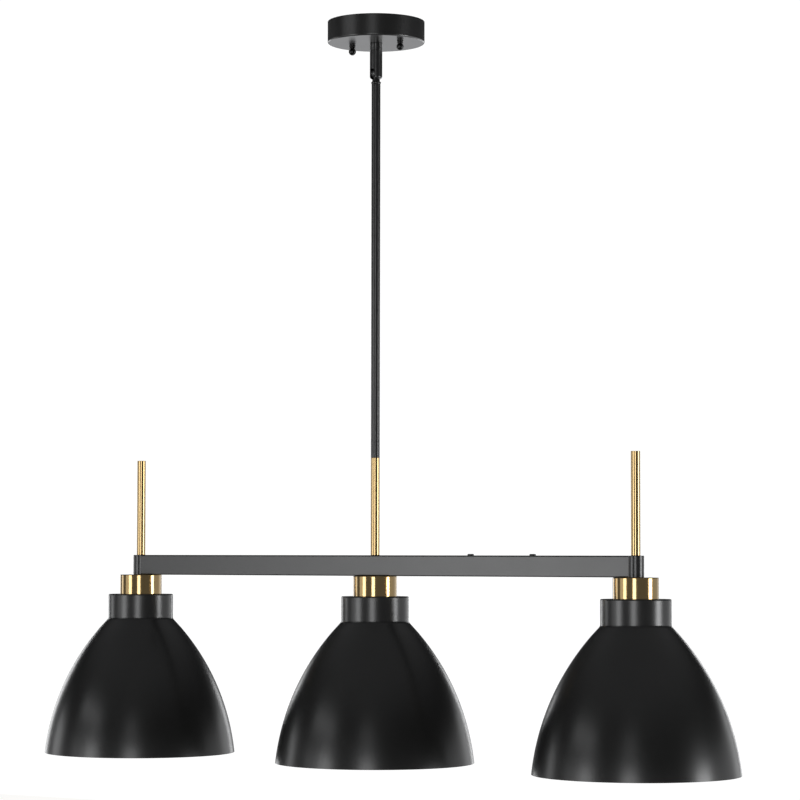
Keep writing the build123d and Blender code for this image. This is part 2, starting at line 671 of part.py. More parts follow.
def shade_ring(x):
    """Threaded ring that clamps the shade against the cup, with finger grips."""
    top = CUP_END_Z - SHADE_WALL
    ring = tube(SHADE_RING_R, SOCKET_R + RUN_FIT, top, top - SHADE_RING_H)
    for turn in range(SHADE_RING_GRIPS):
        azimuth = 2 * pi * turn / SHADE_RING_GRIPS
        place = (SHADE_RING_R * cos(azimuth), SHADE_RING_R * sin(azimuth))
        ring -= disc(SHADE_RING_GRIP_R, top, top - SHADE_RING_H, *place)
    return Pos(x, 0, 0) * ring


os.makedirs("parts", exist_ok=True)

save(box_strap(), "box_strap")
save(canopy_strap(), "canopy_strap")
save(strap_retainer(), "strap_retainer")
save(ground_screw(), "ground_screw")
save(canopy_studs(), "canopy_studs")
save(stud_nuts(), "stud_nuts")
save(canopy(), "canopy")
save(canopy_knob(-STUD_SPACING / 2), "canopy_knob_left")
save(canopy_knob(STUD_SPACING / 2), "canopy_knob_right")
save(canopy_nipple(), "canopy_nipple")
save(spread_washer(), "canopy_spread_washer")
save(tooth_washer(), "canopy_tooth_washer")
save(canopy_nut(), "canopy_lock_nut")
save(supply_lead_upper(), "supply_lead_upper")
save(wire_connectors(), "wire_connectors")
save(swivel_collar(), "swivel_collar")
save(swivel_snap_ring(), "swivel_snap_ring")
save(swivel_housing(), "swivel_housing")
save(swivel_ball_stem(), "swivel_ball_stem")
save(rod(UPPER_ROD_Z, UPPER_ROD_L), "upper_downrod")
save(rod(LOWER_ROD_Z, LOWER_ROD_L), "lower_downrod")
save(rod(BRASS_STEM_Z, BRASS_STEM_L), "brass_stem")
save(downrod_nipples(), "downrod_nipples")
save(stem_nipple(), "stem_nipple")
save(stem_lock_nut(), "stem_lock_nut")
save(supply_lead_lower(), "supply_lead_lower")
save(bar_tube(), "bar_tube")
save(bar_access_cover(), "bar_access_cover")
save(cover_bridges(), "cover_bridges")
save(cover_screws(), "cover_screws")
save(terminal_block(), "terminal_block")
save(end_rod_studs(), "end_rod_studs")
save(end_rod_nuts(), "end_rod_nuts")
save(lamp_nipples(), "lamp_nipples")
save(lamp_lock_nuts(), "lamp_lock_nuts")
save(socket_contacts(), "socket_contacts")
for end_name, end_x in ENDS.items():
    save(bar_end_sleeve(end_x), f"bar_end_sleeve_{end_name}")
    save(end_rod(end_x), f"end_rod_{end_name}")
for lamp_name, lamp_x in LAMPS.items():
    save(lamp_lead(lamp_name), f"lamp_lead_{lamp_name}")
    save(cup(lamp_x), f"cup_{lamp_name}")
    save(socket_body(lamp_x), f"socket_body_{lamp_name}")
    save(screw_shell(lamp_x), f"screw_shell_{lamp_name}")
    save(shade(lamp_x), f"shade_{lamp_name}")
    save(shade_ring(lamp_x), f"shade_ring_{lamp_name}")
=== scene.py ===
import logging
from dataclasses import dataclass, field
from enum import Enum
from math import atan2, ceil, cos, hypot, inf, pi, radians, sin, sqrt, tan
from typing import Any, Sequence

import bmesh
import bpy
from mathutils import Matrix, Vector


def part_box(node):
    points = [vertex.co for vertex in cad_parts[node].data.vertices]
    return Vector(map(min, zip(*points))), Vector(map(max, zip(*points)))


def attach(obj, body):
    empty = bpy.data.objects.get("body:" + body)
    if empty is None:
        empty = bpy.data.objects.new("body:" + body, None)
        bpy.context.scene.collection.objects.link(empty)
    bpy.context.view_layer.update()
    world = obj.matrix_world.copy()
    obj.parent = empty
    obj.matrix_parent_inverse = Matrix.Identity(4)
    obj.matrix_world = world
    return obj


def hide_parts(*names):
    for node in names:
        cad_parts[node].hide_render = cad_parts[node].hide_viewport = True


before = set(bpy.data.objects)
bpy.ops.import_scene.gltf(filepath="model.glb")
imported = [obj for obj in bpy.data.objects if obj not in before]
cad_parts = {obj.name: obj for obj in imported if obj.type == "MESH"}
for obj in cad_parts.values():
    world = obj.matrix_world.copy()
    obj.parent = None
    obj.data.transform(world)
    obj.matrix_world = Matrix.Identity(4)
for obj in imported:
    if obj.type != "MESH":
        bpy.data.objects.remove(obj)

# Looks of a linear island pendant: finishes, turned and spun pieces, the bar, the studio
# and the camera. Metres; +X runs along the bar, +Z is up, the front is -Y and z = 0 is the
# ceiling. Every place is read from the solids, and only the fine shapes are sized here.

LOG = logging.getLogger("pendant")
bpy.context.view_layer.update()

MM = 0.001
ARC_STEP = radians(12.0)        # facets of a rounded edge in a turned section
SHARP_ANGLE = radians(32.0)
MERGE_GAP = 1e-6
FLAT_WEIGHT = 100               # how strongly flats outweigh rounded edges in the normals
BALL_STEP = 6                   # degrees between the points of a ball's outline
Point2 = tuple[float, float]
Corner = tuple[float, float, float]
SIDES = ("left", "right")


class Quality(Enum):
    """Facets round the axis of a turned piece."""

    FINE = 192
    MEDIUM = 96
    SMALL = 48


# ---------------------------------------------------------------- finishes


def linear(hex_colour: str) -> tuple[float, float, float, float]:
    """Turn an sRGB hex colour into the linear colour that a shader takes.

    Args:
        hex_colour: colour such as "#1a1a1a".

    Returns:
        Red, green, blue and alpha, linear.
    """
    parts = [int(hex_colour[i:i + 2], 16) / 255 for i in (1, 3, 5)]
    red, green, blue = (p / 12.92 if p <= 0.04045 else ((p + 0.055) / 1.055) ** 2.4 for p in parts)
    return red, green, blue, 1.0


def add_node(tree: bpy.types.NodeTree, kind: str, settings: dict[str, Any] | None = None,
             inputs: dict[Any, Any] | None = None) -> bpy.types.Node:
    """Add a node with its settings, values and links.

    Args:
        tree: node tree that takes the node.
        kind: node type, such as "ShaderNodeTexNoise".
        settings: attributes of the node.
        inputs: value or output socket for each input, by name or number.

    Returns:
        The new node.
    """
    node = tree.nodes.new(kind)
    for name, value in (settings or {}).items():
        setattr(node, name, value)
    for key, value in (inputs or {}).items():
        if isinstance(value, bpy.types.NodeSocket):
            tree.links.new(value, node.inputs[key])
        else:
            node.inputs[key].default_value = value
    return node


@dataclass(frozen=True)
class Finish:
    """A surface: base colour, gloss, and a fine relief with a mottled roughness.

    The relief is drawn from noise on object coordinates, sized in millimetres.
    """

    name: str
    colour: str
    roughness: float
    metallic: float = 0.0
    ior: float = 1.5
    grain_mm: float = 1.2
    relief_mm: float = 0.0
    mottle: float = 0.0
    mottle_mm: float = 30.0
    tint: str = ""
    tint_share: float = 0.0
    coat: float = 0.0
    coat_roughness: float = 0.1
    stretch: tuple[float, float, float] = (1.0, 1.0, 1.0)

    def build(self) -> bpy.types.Material:
        """Make the material once and return it."""
        found = bpy.data.materials.get(self.name)
        if found:
            return found
        material = bpy.data.materials.new(self.name)
        material.use_nodes = True
        material.diffuse_color = linear(self.colour)
        tree = material.node_tree
        shader = tree.nodes["Principled BSDF"]
        shader.inputs["Base Color"].default_value = linear(self.colour)
        shader.inputs["Metallic"].default_value = self.metallic
        shader.inputs["Roughness"].default_value = self.roughness
        if not self.metallic:
            shader.inputs["IOR"].default_value = self.ior
        if self.coat:
            shader.inputs["Coat Weight"].default_value = self.coat
            shader.inputs["Coat Roughness"].default_value = self.coat_roughness
        place = add_node(tree, "ShaderNodeTexCoord").outputs["Object"]
        place = add_node(tree, "ShaderNodeMapping", inputs={"Vector": place, "Scale": self.stretch})
        self._mottle(tree, shader, place.outputs[0])
        self._relief(tree, shader, place.outputs[0])
        return material

    def _mottle(self, tree: bpy.types.NodeTree, shader: bpy.types.Node, place: Any) -> None:
        """Vary the roughness and the colour in soft patches."""
        patches = add_node(tree, "ShaderNodeTexNoise", inputs={
            "Vector": place, "Scale": 1 / (self.mottle_mm * MM), "Detail": 3.0, "Roughness": 0.55})
        if self.mottle:
            spread = add_node(tree, "ShaderNodeMapRange", inputs={
                "Value": patches.outputs[0], "From Min": 0.3, "From Max": 0.7,
                "To Min": max(self.roughness - self.mottle, 0.02), "To Max": self.roughness + self.mottle})
            tree.links.new(spread.outputs[0], shader.inputs["Roughness"])
        if self.tint:
            share = add_node(tree, "ShaderNodeMapRange", inputs={
                "Value": patches.outputs[0], "From Min": 0.35, "From Max": 0.7,
                "To Min": 0.0, "To Max": self.tint_share})
            mixed = add_node(tree, "ShaderNodeMix", {"data_type": "RGBA"}, {
                "Factor": share.outputs[0], 6: linear(self.colour), 7: linear(self.tint)})
            tree.links.new(mixed.outputs[2], shader.inputs["Base Color"])

    def _relief(self, tree: bpy.types.NodeTree, shader: bpy.types.Node, place: Any) -> None:
        """Raise the fine grain of the surface."""
        if not self.relief_mm:
            return
        grain = add_node(tree, "ShaderNodeTexNoise", inputs={
            "Vector": place, "Scale": 1 / (self.grain_mm * MM), "Detail": 2.0, "Roughness": 0.5})
        bump = add_node(tree, "ShaderNodeBump", inputs={
            "Height": grain.outputs[0], "Distance": self.relief_mm * MM, "Strength": 1.0})
        tree.links.new(bump.outputs[0], shader.inputs["Normal"])


# Sprayed satin enamel on spun steel: nearly black, a soft broad gloss, a faint orange peel.
BLACK_ENAMEL = Finish("satin_black_enamel", "#121212", 0.3, grain_mm=1.6, relief_mm=0.002,
                      mottle=0.015, tint="#161616", tint_share=0.5, coat=1.0, coat_roughness=0.26)
# The same enamel on the turned knobs, wet-looking and deeper.
GLOSS_BLACK = Finish("gloss_black_enamel", "#060606", 0.1, grain_mm=1.6, relief_mm=0.001, mottle=0.02)
# White enamel inside the shades: bright and a little glossy, so that it throws light down.
WHITE_ENAMEL = Finish("white_inner_enamel", "#f2f1ec", 0.4, grain_mm=1.6, relief_mm=0.004,
                      mottle=0.03, tint="#eeece6", tint_share=0.5)
# Polished and lacquered brass plate: crisp warm reflections, slightly uneven tone.
BRASS = Finish("lacquered_polished_brass", "#d1b27a", 0.12, metallic=1.0, grain_mm=2.5,
               relief_mm=0.0002, mottle=0.01, tint="#cba96d", tint_share=0.6, coat=1.0, coat_roughness=0.12)
# Zinc plate on pressed and turned steel: bluish grey with a dull uneven lustre.
ZINC = Finish("zinc_plated_steel", "#b9bcc0", 0.32, metallic=1.0, grain_mm=0.9, relief_mm=0.006,
              mottle=0.08, mottle_mm=9.0, tint="#a3a49c", tint_share=0.7)
# Hardened spring wire, darkened by its heat treatment.
SPRING_STEEL = Finish("blued_spring_steel", "#5c5f66", 0.28, metallic=1.0, grain_mm=0.8,
                      relief_mm=0.004, mottle=0.06, mottle_mm=4.0)
# Green lacquer that marks the earth screw.
GREEN_LACQUER = Finish("green_earth_lacquer", "#1f7a35", 0.25, grain_mm=0.8, relief_mm=0.006,
                       mottle=0.05, mottle_mm=5.0, coat=0.4)
# Extruded PVC jacket of the leads: matt, faintly ribbed by the strands under it.
JACKET = Finish("extruded_pvc_jacket", "#191919", 0.55, grain_mm=0.9, relief_mm=0.02,
                mottle=0.06, mottle_mm=14.0, stretch=(1.0, 1.0, 0.3))
# Moulded thermoplastic of the wire connectors and the terminal block: smooth, slightly waxy.
CONNECTOR = Finish("moulded_connector_plastic", "#d9a33c", 0.36, ior=1.46, grain_mm=0.7,
                   relief_mm=0.008, mottle=0.05, mottle_mm=6.0, tint="#cf9632", tint_share=0.5)
# Pressed phenolic of the sockets and their rings: brown-black with a dry sheen.
PHENOLIC = Finish("pressed_black_phenolic", "#1d1a18", 0.46, grain_mm=0.6, relief_mm=0.01,
                  mottle=0.07, mottle_mm=8.0, tint="#2a2521", tint_share=0.5)
# Rolled aluminium screw shell: bright, drawn marks round the thread.
SHELL_METAL = Finish("rolled_aluminium_shell", "#cfcfce", 0.24, metallic=1.0, grain_mm=0.5,
                     relief_mm=0.006, mottle=0.07, mottle_mm=5.0, stretch=(1.0, 1.0, 4.0))
# Stamped brass of the contacts: yellow, dulled and a little stained.
CONTACT_METAL = Finish("stamped_contact_brass", "#d9b25e", 0.3, metallic=1.0, grain_mm=0.4,
                       relief_mm=0.006, mottle=0.08, mottle_mm=3.0)


class Slot(Enum):
    """Material slots of the record, each with the finish that dresses it."""

    BLACK = ("black_enamel", BLACK_ENAMEL)
    BRASS = ("polished_brass", BRASS)
    ZINC = ("zinc_steel", ZINC)
    SPRING = ("spring_steel", SPRING_STEEL)
    GREEN = ("green_screw", GREEN_LACQUER)
    JACKET = ("lead_jacket", JACKET)
    CONNECTOR = ("connector_plastic", CONNECTOR)
    PHENOLIC = ("phenolic", PHENOLIC)
    SHELL = ("shell_aluminium", SHELL_METAL)
    CONTACT = ("contact_brass", CONTACT_METAL)
    RING = ("ring_plastic", PHENOLIC)

    @property
    def slot_name(self) -> str:
        """Name of the slot in the record."""
        return self.value[0]

    @property
    def finish(self) -> Finish:
        """Finish that the slot's pieces wear."""
        return self.value[1]


# ---------------------------------------------------------------- sections and meshes


def rounded(corners: Sequence[Corner]) -> list[Point2]:
    """Round the corners of a closed section.

    Args:
        corners: (radius from the axis, height, edge radius) of each corner, in order.

    Returns:
        The points of the closed section.
    """
    points: list[Point2] = []
    for i, (r, z, edge) in enumerate(corners):
        here = Vector((r, z))
        back = Vector(corners[i - 1][:2]) - here
        ahead = Vector(corners[(i + 1) % len(corners)][:2]) - here
        turn = pi - back.angle(ahead) if back.length and ahead.length else 0.0
        if edge <= 0 or turn < ARC_STEP / 4:
            points.append((r, z))
            continue
        reach = edge * tan(turn / 2)
        start, end = here + back.normalized() * reach, here + ahead.normalized() * reach
        centre = here + (back.normalized() + ahead.normalized()).normalized() * (edge / cos(turn / 2))
        steps = max(2, ceil(turn / ARC_STEP))
        a, b = start - centre, end - centre
        for k in range(steps + 1):
            share = k / steps
            mixed = (a * sin((1 - share) * turn) + b * sin(share * turn)) / sin(turn)
            points.append(tuple(centre + mixed))
    return points


def divided(start: Point2, end: Point2, step: float) -> list[Point2]:
    """Points along a straight stretch of a section, its end left out.

    Args:
        start: first point.
        end: point that the stretch runs to.
        step: longest distance between two points.

    Returns:
        The points from start, evenly spaced.
    """
    count = max(1, ceil(hypot(end[0] - start[0], end[1] - start[1]) / step))
    return [(start[0] + (end[0] - start[0]) * k / count, start[1] + (end[1] - start[1]) * k / count)
            for k in range(count)]


def ball_arc(radius: float, middle: float, first: int, last: int, above: float = -inf,
             below: float = inf) -> list[Point2]:
    """Outline of a ball, in steps of BALL_STEP degrees between two heights.

    Args:
        radius: radius of the ball.
        middle: height of its centre.
        first: elevation of the first point in degrees.
        last: elevation that the points run to.
        above: only points higher than this are kept.
        below: only points lower than this are kept.

    Returns:
        The points as (radius, height).
    """
    step = BALL_STEP if last > first else -BALL_STEP
    angles = [radians(d) for d in range(first, last, step)]
    points = [(radius * cos(a), middle + radius * sin(a)) for a in angles]
    return [p for p in points if above < p[1] < below]


def new_object(name: str, mesh: bpy.types.Mesh) -> bpy.types.Object:
    """Link a mesh into the scene as an object at the origin."""
    piece = bpy.data.objects.new(name, mesh)
    bpy.context.scene.collection.objects.link(piece)
    return piece


def bake(piece: bpy.types.Object) -> bpy.types.Object:
    """Turn a piece's modifiers into its plain mesh, and remove them.

    Args:
        piece: object with live modifiers.

    Returns:
        The same object, with the result as its mesh.
    """
    graph = bpy.context.evaluated_depsgraph_get()
    mesh = bpy.data.meshes.new_from_object(piece.evaluated_get(graph), depsgraph=graph)
    piece.modifiers.clear()
    piece.data = mesh
    mesh.name = piece.name
    return piece


def clean(piece: bpy.types.Object) -> bpy.types.Object:
    """Merge doubles, point faces outwards and set which edges stay sharp."""
    work = bmesh.new()
    work.from_mesh(piece.data)
    bmesh.ops.remove_doubles(work, verts=work.verts, dist=MERGE_GAP)
    bmesh.ops.dissolve_degenerate(work, edges=work.edges, dist=MERGE_GAP)
    bmesh.ops.recalc_face_normals(work, faces=work.faces)
    work.to_mesh(piece.data)
    work.free()
    piece.data.shade_smooth()
    piece.data.set_sharp_from_angle(angle=SHARP_ANGLE)
    return piece


def flatten_shading(piece: bpy.types.Object) -> bpy.types.Object:
    """Weight the normals by face area, so that flats stay flat beside rounded edges."""
    weighted = piece.modifiers.new("weighted", "WEIGHTED_NORMAL")
    weighted.keep_sharp = True
    weighted.weight = FLAT_WEIGHT
    return bake(piece)


def cut(piece: bpy.types.Object, cutter: bpy.types.Object) -> bpy.types.Object:
    """Subtract a cutter from a piece and delete the cutter."""
    boolean = piece.modifiers.new("cut", "BOOLEAN")
    boolean.operation = "DIFFERENCE"
    boolean.solver = "EXACT"
    boolean.object = cutter
    bake(piece)
    bpy.data.objects.remove(cutter)
    return clean(piece)


def take_mesh(work: bmesh.types.BMesh, name: str) -> bpy.types.Mesh:
    """Write a finished bmesh into a new mesh and free it."""
    mesh = bpy.data.meshes.new(name)
    work.to_mesh(mesh)
    work.free()
    return mesh


def cylinder(name: str, radius: float, start: Vector, end: Vector, facets: int) -> bpy.types.Object:
    """Closed cylinder between two points, for cutting."""
    work = bmesh.new()
    along = end - start
    turn = along.to_track_quat("Z", "Y").to_matrix().to_4x4()
    bmesh.ops.create_cone(work, cap_ends=True, segments=facets, radius1=radius, radius2=radius,
                          depth=along.length, matrix=Matrix.Translation((start + end) / 2) @ turn)
    return new_object(name, take_mesh(work, name))


def brick(name: str, low: Vector, high: Vector) -> bpy.types.Object:
    """Closed box between two corners, for cutting."""
    work = bmesh.new()
    size = Matrix.Diagonal((*(high - low), 1.0))
    bmesh.ops.create_cube(work, size=1.0, matrix=Matrix.Translation((low + high) / 2) @ size)
    return new_object(name, take_mesh(work, name))


def drill(piece: bpy.types.Object, radius: float, x: float, low: float, high: float) -> None:
    """Cut an upright round hole through a piece.

    Args:
        piece: piece that takes the hole.
        radius: radius of the hole.
        x: place of the hole along the bar.
        low: height below the wall.
        high: height above the wall.
    """
    cut(piece, cylinder("drill", radius, Vector((x, 0, low)), Vector((x, 0, high)), Quality.SMALL.value))


class NodeTool:
    """A Geometry Nodes tree with named inputs, run once on a piece and baked."""

    def __init__(self, name: str, inputs: Sequence[tuple[str, str]]) -> None:
        """Make the empty tree.

        Args:
            name: name of the tree.
            inputs: (name, socket type) of each input after the geometry.
        """
        self.tree = bpy.data.node_groups.new(name, "GeometryNodeTree")
        face = self.tree.interface
        face.new_socket("Geometry", in_out="INPUT", socket_type="NodeSocketGeometry")
        for label, kind in inputs:
            face.new_socket(label, in_out="INPUT", socket_type=kind)
        face.new_socket("Geometry", in_out="OUTPUT", socket_type="NodeSocketGeometry")
        self.inlet = add_node(self.tree, "NodeGroupInput")

    def close(self, geometry: bpy.types.NodeSocket) -> None:
        """End the tree in Realize Instances and Set Material."""
        real = add_node(self.tree, "GeometryNodeRealizeInstances", inputs={0: geometry})
        dressed = add_node(self.tree, "GeometryNodeSetMaterial", inputs={
            "Geometry": real.outputs[0], "Material": self.inlet.outputs["Finish"]})
        add_node(self.tree, "NodeGroupOutput", inputs={0: dressed.outputs[0]})

    def run(self, piece: bpy.types.Object, **values: Any) -> bpy.types.Object:
        """Run the tree on a piece.

        Args:
            piece: object that the tree starts from.
            values: value of each named input.

        Returns:
            The piece, with the result as its plain mesh.
        """
        modifier = piece.modifiers.new(self.tree.name, "NODES")
        modifier.node_group = self.tree
        sockets = {s.name: s.identifier for s in self.tree.interface.items_tree if s.in_out == "INPUT"}
        for label, value in values.items():
            modifier[sockets[label]] = value
        return bake(piece)


class Lathe(NodeTool):
    """Turns a closed section round Z: the section is swept along a circle."""

    def __init__(self) -> None:
        """Build the tree."""
        super().__init__("turned_piece", [("Facets", "NodeSocketInt"), ("SweepRadius", "NodeSocketFloat"),
                                          ("Finish", "NodeSocketMaterial")])
        tree, inlet = self.tree, self.inlet
        section = add_node(tree, "GeometryNodeMeshToCurve", inputs={0: inlet.outputs["Geometry"]})
        circle = add_node(tree, "GeometryNodeCurvePrimitiveCircle", inputs={
            "Resolution": inlet.outputs["Facets"], "Radius": inlet.outputs["SweepRadius"]})
        upright = add_node(tree, "GeometryNodeSetCurveNormal", {"mode": "Z_UP"}, {0: circle.outputs[0]})
        swept = add_node(tree, "GeometryNodeCurveToMesh", inputs={
            "Curve": upright.outputs[0], "Profile Curve": section.outputs[0]})
        merged = add_node(tree, "GeometryNodeMergeByDistance", inputs={
            "Geometry": swept.outputs[0], "Distance": MERGE_GAP})
        self.close(merged.outputs[0])

    def turn(self, name: str, section: Sequence[Point2], finish: Finish,
             quality: Quality = Quality.MEDIUM, centre: Vector | None = None) -> bpy.types.Object:
        """Turn one closed section.

        Args:
            name: name of the piece.
            section: closed outline as (radius, height) points.
            finish: finish of the piece.
            quality: facets round the axis.
            centre: where the axis stands.

        Returns:
            The turned piece, with its place in its mesh.
        """
        sweep = max(r for r, _ in section)
        count = len(section)
        mesh = bpy.data.meshes.new(name)
        # The sweep puts a section's y downwards, so heights go in with their sign changed.
        mesh.from_pydata([(r - sweep, -z, 0.0) for r, z in section],
                         [(i, (i + 1) % count) for i in range(count)], [])
        piece = new_object(name, mesh)
        self.run(piece, Facets=quality.value, SweepRadius=sweep, Finish=finish.build())
        clean(piece)
        if centre is not None:
            piece.data.transform(Matrix.Translation(centre))
        return piece


class RingOfCopies(NodeTool):
    """Copies a tool shape round Z, such as grips, ribs or teeth."""

    def __init__(self) -> None:
        """Build the tree."""
        super().__init__("ring_of_copies", [("Count", "NodeSocketInt"), ("Shape", "NodeSocketObject"),
                                            ("RingRadius", "NodeSocketFloat"),
                                            ("Finish", "NodeSocketMaterial")])
        tree, inlet = self.tree, self.inlet
        circle = add_node(tree, "GeometryNodeMeshCircle", inputs={
            "Vertices": inlet.outputs["Count"], "Radius": inlet.outputs["RingRadius"]})
        place = add_node(tree, "GeometryNodeInputPosition")
        facing = add_node(tree, "FunctionNodeAlignRotationToVector", {"axis": "X"},
                          {"Vector": place.outputs[0]})
        shape = add_node(tree, "GeometryNodeObjectInfo", inputs={"Object": inlet.outputs["Shape"]})
        copies = add_node(tree, "GeometryNodeInstanceOnPoints", inputs={
            "Points": circle.outputs[0], "Instance": shape.outputs["Geometry"],
            "Rotation": facing.outputs[0]})
        self.close(copies.outputs[0])


class RowOfCopies(NodeTool):
    """Copies a tool shape along X at an even spacing, such as the screws of a cover."""

    def __init__(self) -> None:
        """Build the tree."""
        super().__init__("row_of_copies", [("Count", "NodeSocketInt"), ("Shape", "NodeSocketObject"),
                                           ("First", "NodeSocketVector"), ("Step", "NodeSocketVector"),
                                           ("Finish", "NodeSocketMaterial")])
        tree, inlet = self.tree, self.inlet
        row = add_node(tree, "GeometryNodeMeshLine", inputs={
            "Count": inlet.outputs["Count"], "Start Location": inlet.outputs["First"],
            "Offset": inlet.outputs["Step"]})
        shape = add_node(tree, "GeometryNodeObjectInfo", inputs={"Object": inlet.outputs["Shape"]})
        copies = add_node(tree, "GeometryNodeInstanceOnPoints", inputs={
            "Points": row.outputs[0], "Instance": shape.outputs["Geometry"]})
        self.close(copies.outputs[0])


LATHE = Lathe()
RING = RingOfCopies()
ROW = RowOfCopies()


def cut_thread(piece: bpy.types.Object, centre: Vector, radius: float, low: float, high: float,
               pitch: float, depth: float) -> None:
    """Press a round-form thread into the facets that lie near one radius.

    Args:
        piece: turned piece with enough facets along the threaded stretch.
        centre: point on the thread's axis.
        radius: radius of the plain wall.
        low: height where the thread starts.
        high: height where it ends.
        pitch: rise of one turn.
        depth: height of the thread's wave.
    """
    near = depth * 1.5
    for vertex in piece.data.vertices:
        x, y, z = vertex.co - Vector((centre.x, centre.y, 0.0))
        r = hypot(x, y)
        if abs(r - radius) > near or not low < z < high:
            continue
        fade = min(1.0, (z - low) / pitch, (high - z) / pitch)
        wave = 0.5 * depth * fade * cos(2 * pi * z / pitch - atan2(y, x))
        vertex.co.x += x / r * wave
        vertex.co.y += y / r * wave


def node_centre(node: str) -> Vector:
    """Middle of a solid's box."""
    low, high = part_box(node)
    return (low + high) / 2


def node_radius(node: str) -> float:
    """Half of the widest of a round solid's two widths."""
    low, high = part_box(node)
    return max(high.x - low.x, high.y - low.y) / 2


def dress(piece: bpy.types.Object, body: str, slot: Slot, *nodes: str) -> bpy.types.Object:
    """Let a piece ride on its body and stand for its solids.

    Args:
        piece: finished piece.
        body: body that it moves with.
        slot: not used.
        nodes: solids that it stands for.

    Returns:
        The piece.
    """
    if nodes:
        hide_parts(*nodes)
    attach(piece, body)
    LOG.info("%s on %s: %d faces", piece.name, body, len(piece.data.polygons))
    return piece


def keep(node: str, slot: Slot) -> None:
    """Give a solid that stays as it is its finish."""
    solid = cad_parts[node]
    solid.data.materials.clear()
    solid.data.materials.append(slot.finish.build())
    LOG.info("%s keeps its solid in %s", node, slot.finish.name)


# ---------------------------------------------------------------- sub-assemblies


@dataclass
class Canopy:
    """Ceiling canopy with its two knobs."""

    wall: float = 1.0 * MM
    edge: float = 2.0 * MM
    rim_edge: float = 0.3 * MM
    centre_hole: float = 5.1 * MM
    stud_hole: float = 2.3 * MM
    knob_bore: float = 2.15 * MM
    knob_flange: float = 1.1 * MM
    knob_waist: float = 3.1 * MM
    knob_flange_r: float = 3.95 * MM
    knob_neck: float = 3.2 * MM
    knob_bore_depth: float = 9.5 * MM

    def build(self) -> None:
        """Build and dress the canopy and its knobs."""
        self._shell()
        for side in SIDES:
            self._knob(side)

    def _shell(self) -> None:
        """Spun cup with a rounded lower edge and holes for the nipple and the studs."""
        low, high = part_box("canopy")
        radius, inner = node_radius("canopy"), node_radius("canopy") - self.wall
        section = rounded([
            (self.centre_hole, low.z, 0), (radius, low.z, self.edge), (radius, high.z, self.rim_edge),
            (inner, high.z, self.rim_edge), (inner, low.z + self.wall, self.edge - self.wall),
            (self.centre_hole, low.z + self.wall, 0)])
        shell = LATHE.turn("canopy_shell", section, BLACK_ENAMEL, Quality.FINE)
        for side in SIDES:
            x = node_centre(f"canopy_knob_{side}").x
            drill(shell, self.stud_hole, x, low.z - self.wall, low.z + 2 * self.wall)
        dress(flatten_shading(shell), "canopy_unit", Slot.BLACK, "canopy")

    def _knob(self, side: str) -> None:
        """Turned thumb nut: two flanges round a waist, and a ball."""
        node = f"canopy_knob_{side}"
        low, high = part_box(node)
        ball = node_radius(node)
        neck_end = high.z - self.knob_neck
        ball_centre = low.z + ball
        start = self.knob_flange_r * 0.75
        arc = ball_arc(ball, ball_centre, -85, 86, below=neck_end)
        bead = 0.25 * MM
        section = rounded([
            (self.knob_bore, high.z, 0), (self.knob_flange_r, high.z, bead),
            (self.knob_flange_r, high.z - self.knob_flange, bead),
            (self.knob_waist, high.z - self.knob_flange - 2 * bead, bead),
            (self.knob_waist, neck_end + self.knob_flange + 2 * bead, bead),
            (self.knob_flange_r, neck_end + self.knob_flange, bead),
            (self.knob_flange_r, neck_end, bead), (start, neck_end, 0)])
        section += list(reversed(arc)) + [(0.0, low.z), (0.0, high.z - self.knob_bore_depth),
                                          (self.knob_bore, high.z - self.knob_bore_depth)]
        centre = node_centre(node)
        knob = LATHE.turn(node + "_turned", section, GLOSS_BLACK, Quality.MEDIUM,
                          Vector((centre.x, centre.y, 0)))
        dress(knob, f"knob_{side}", Slot.BLACK, node)


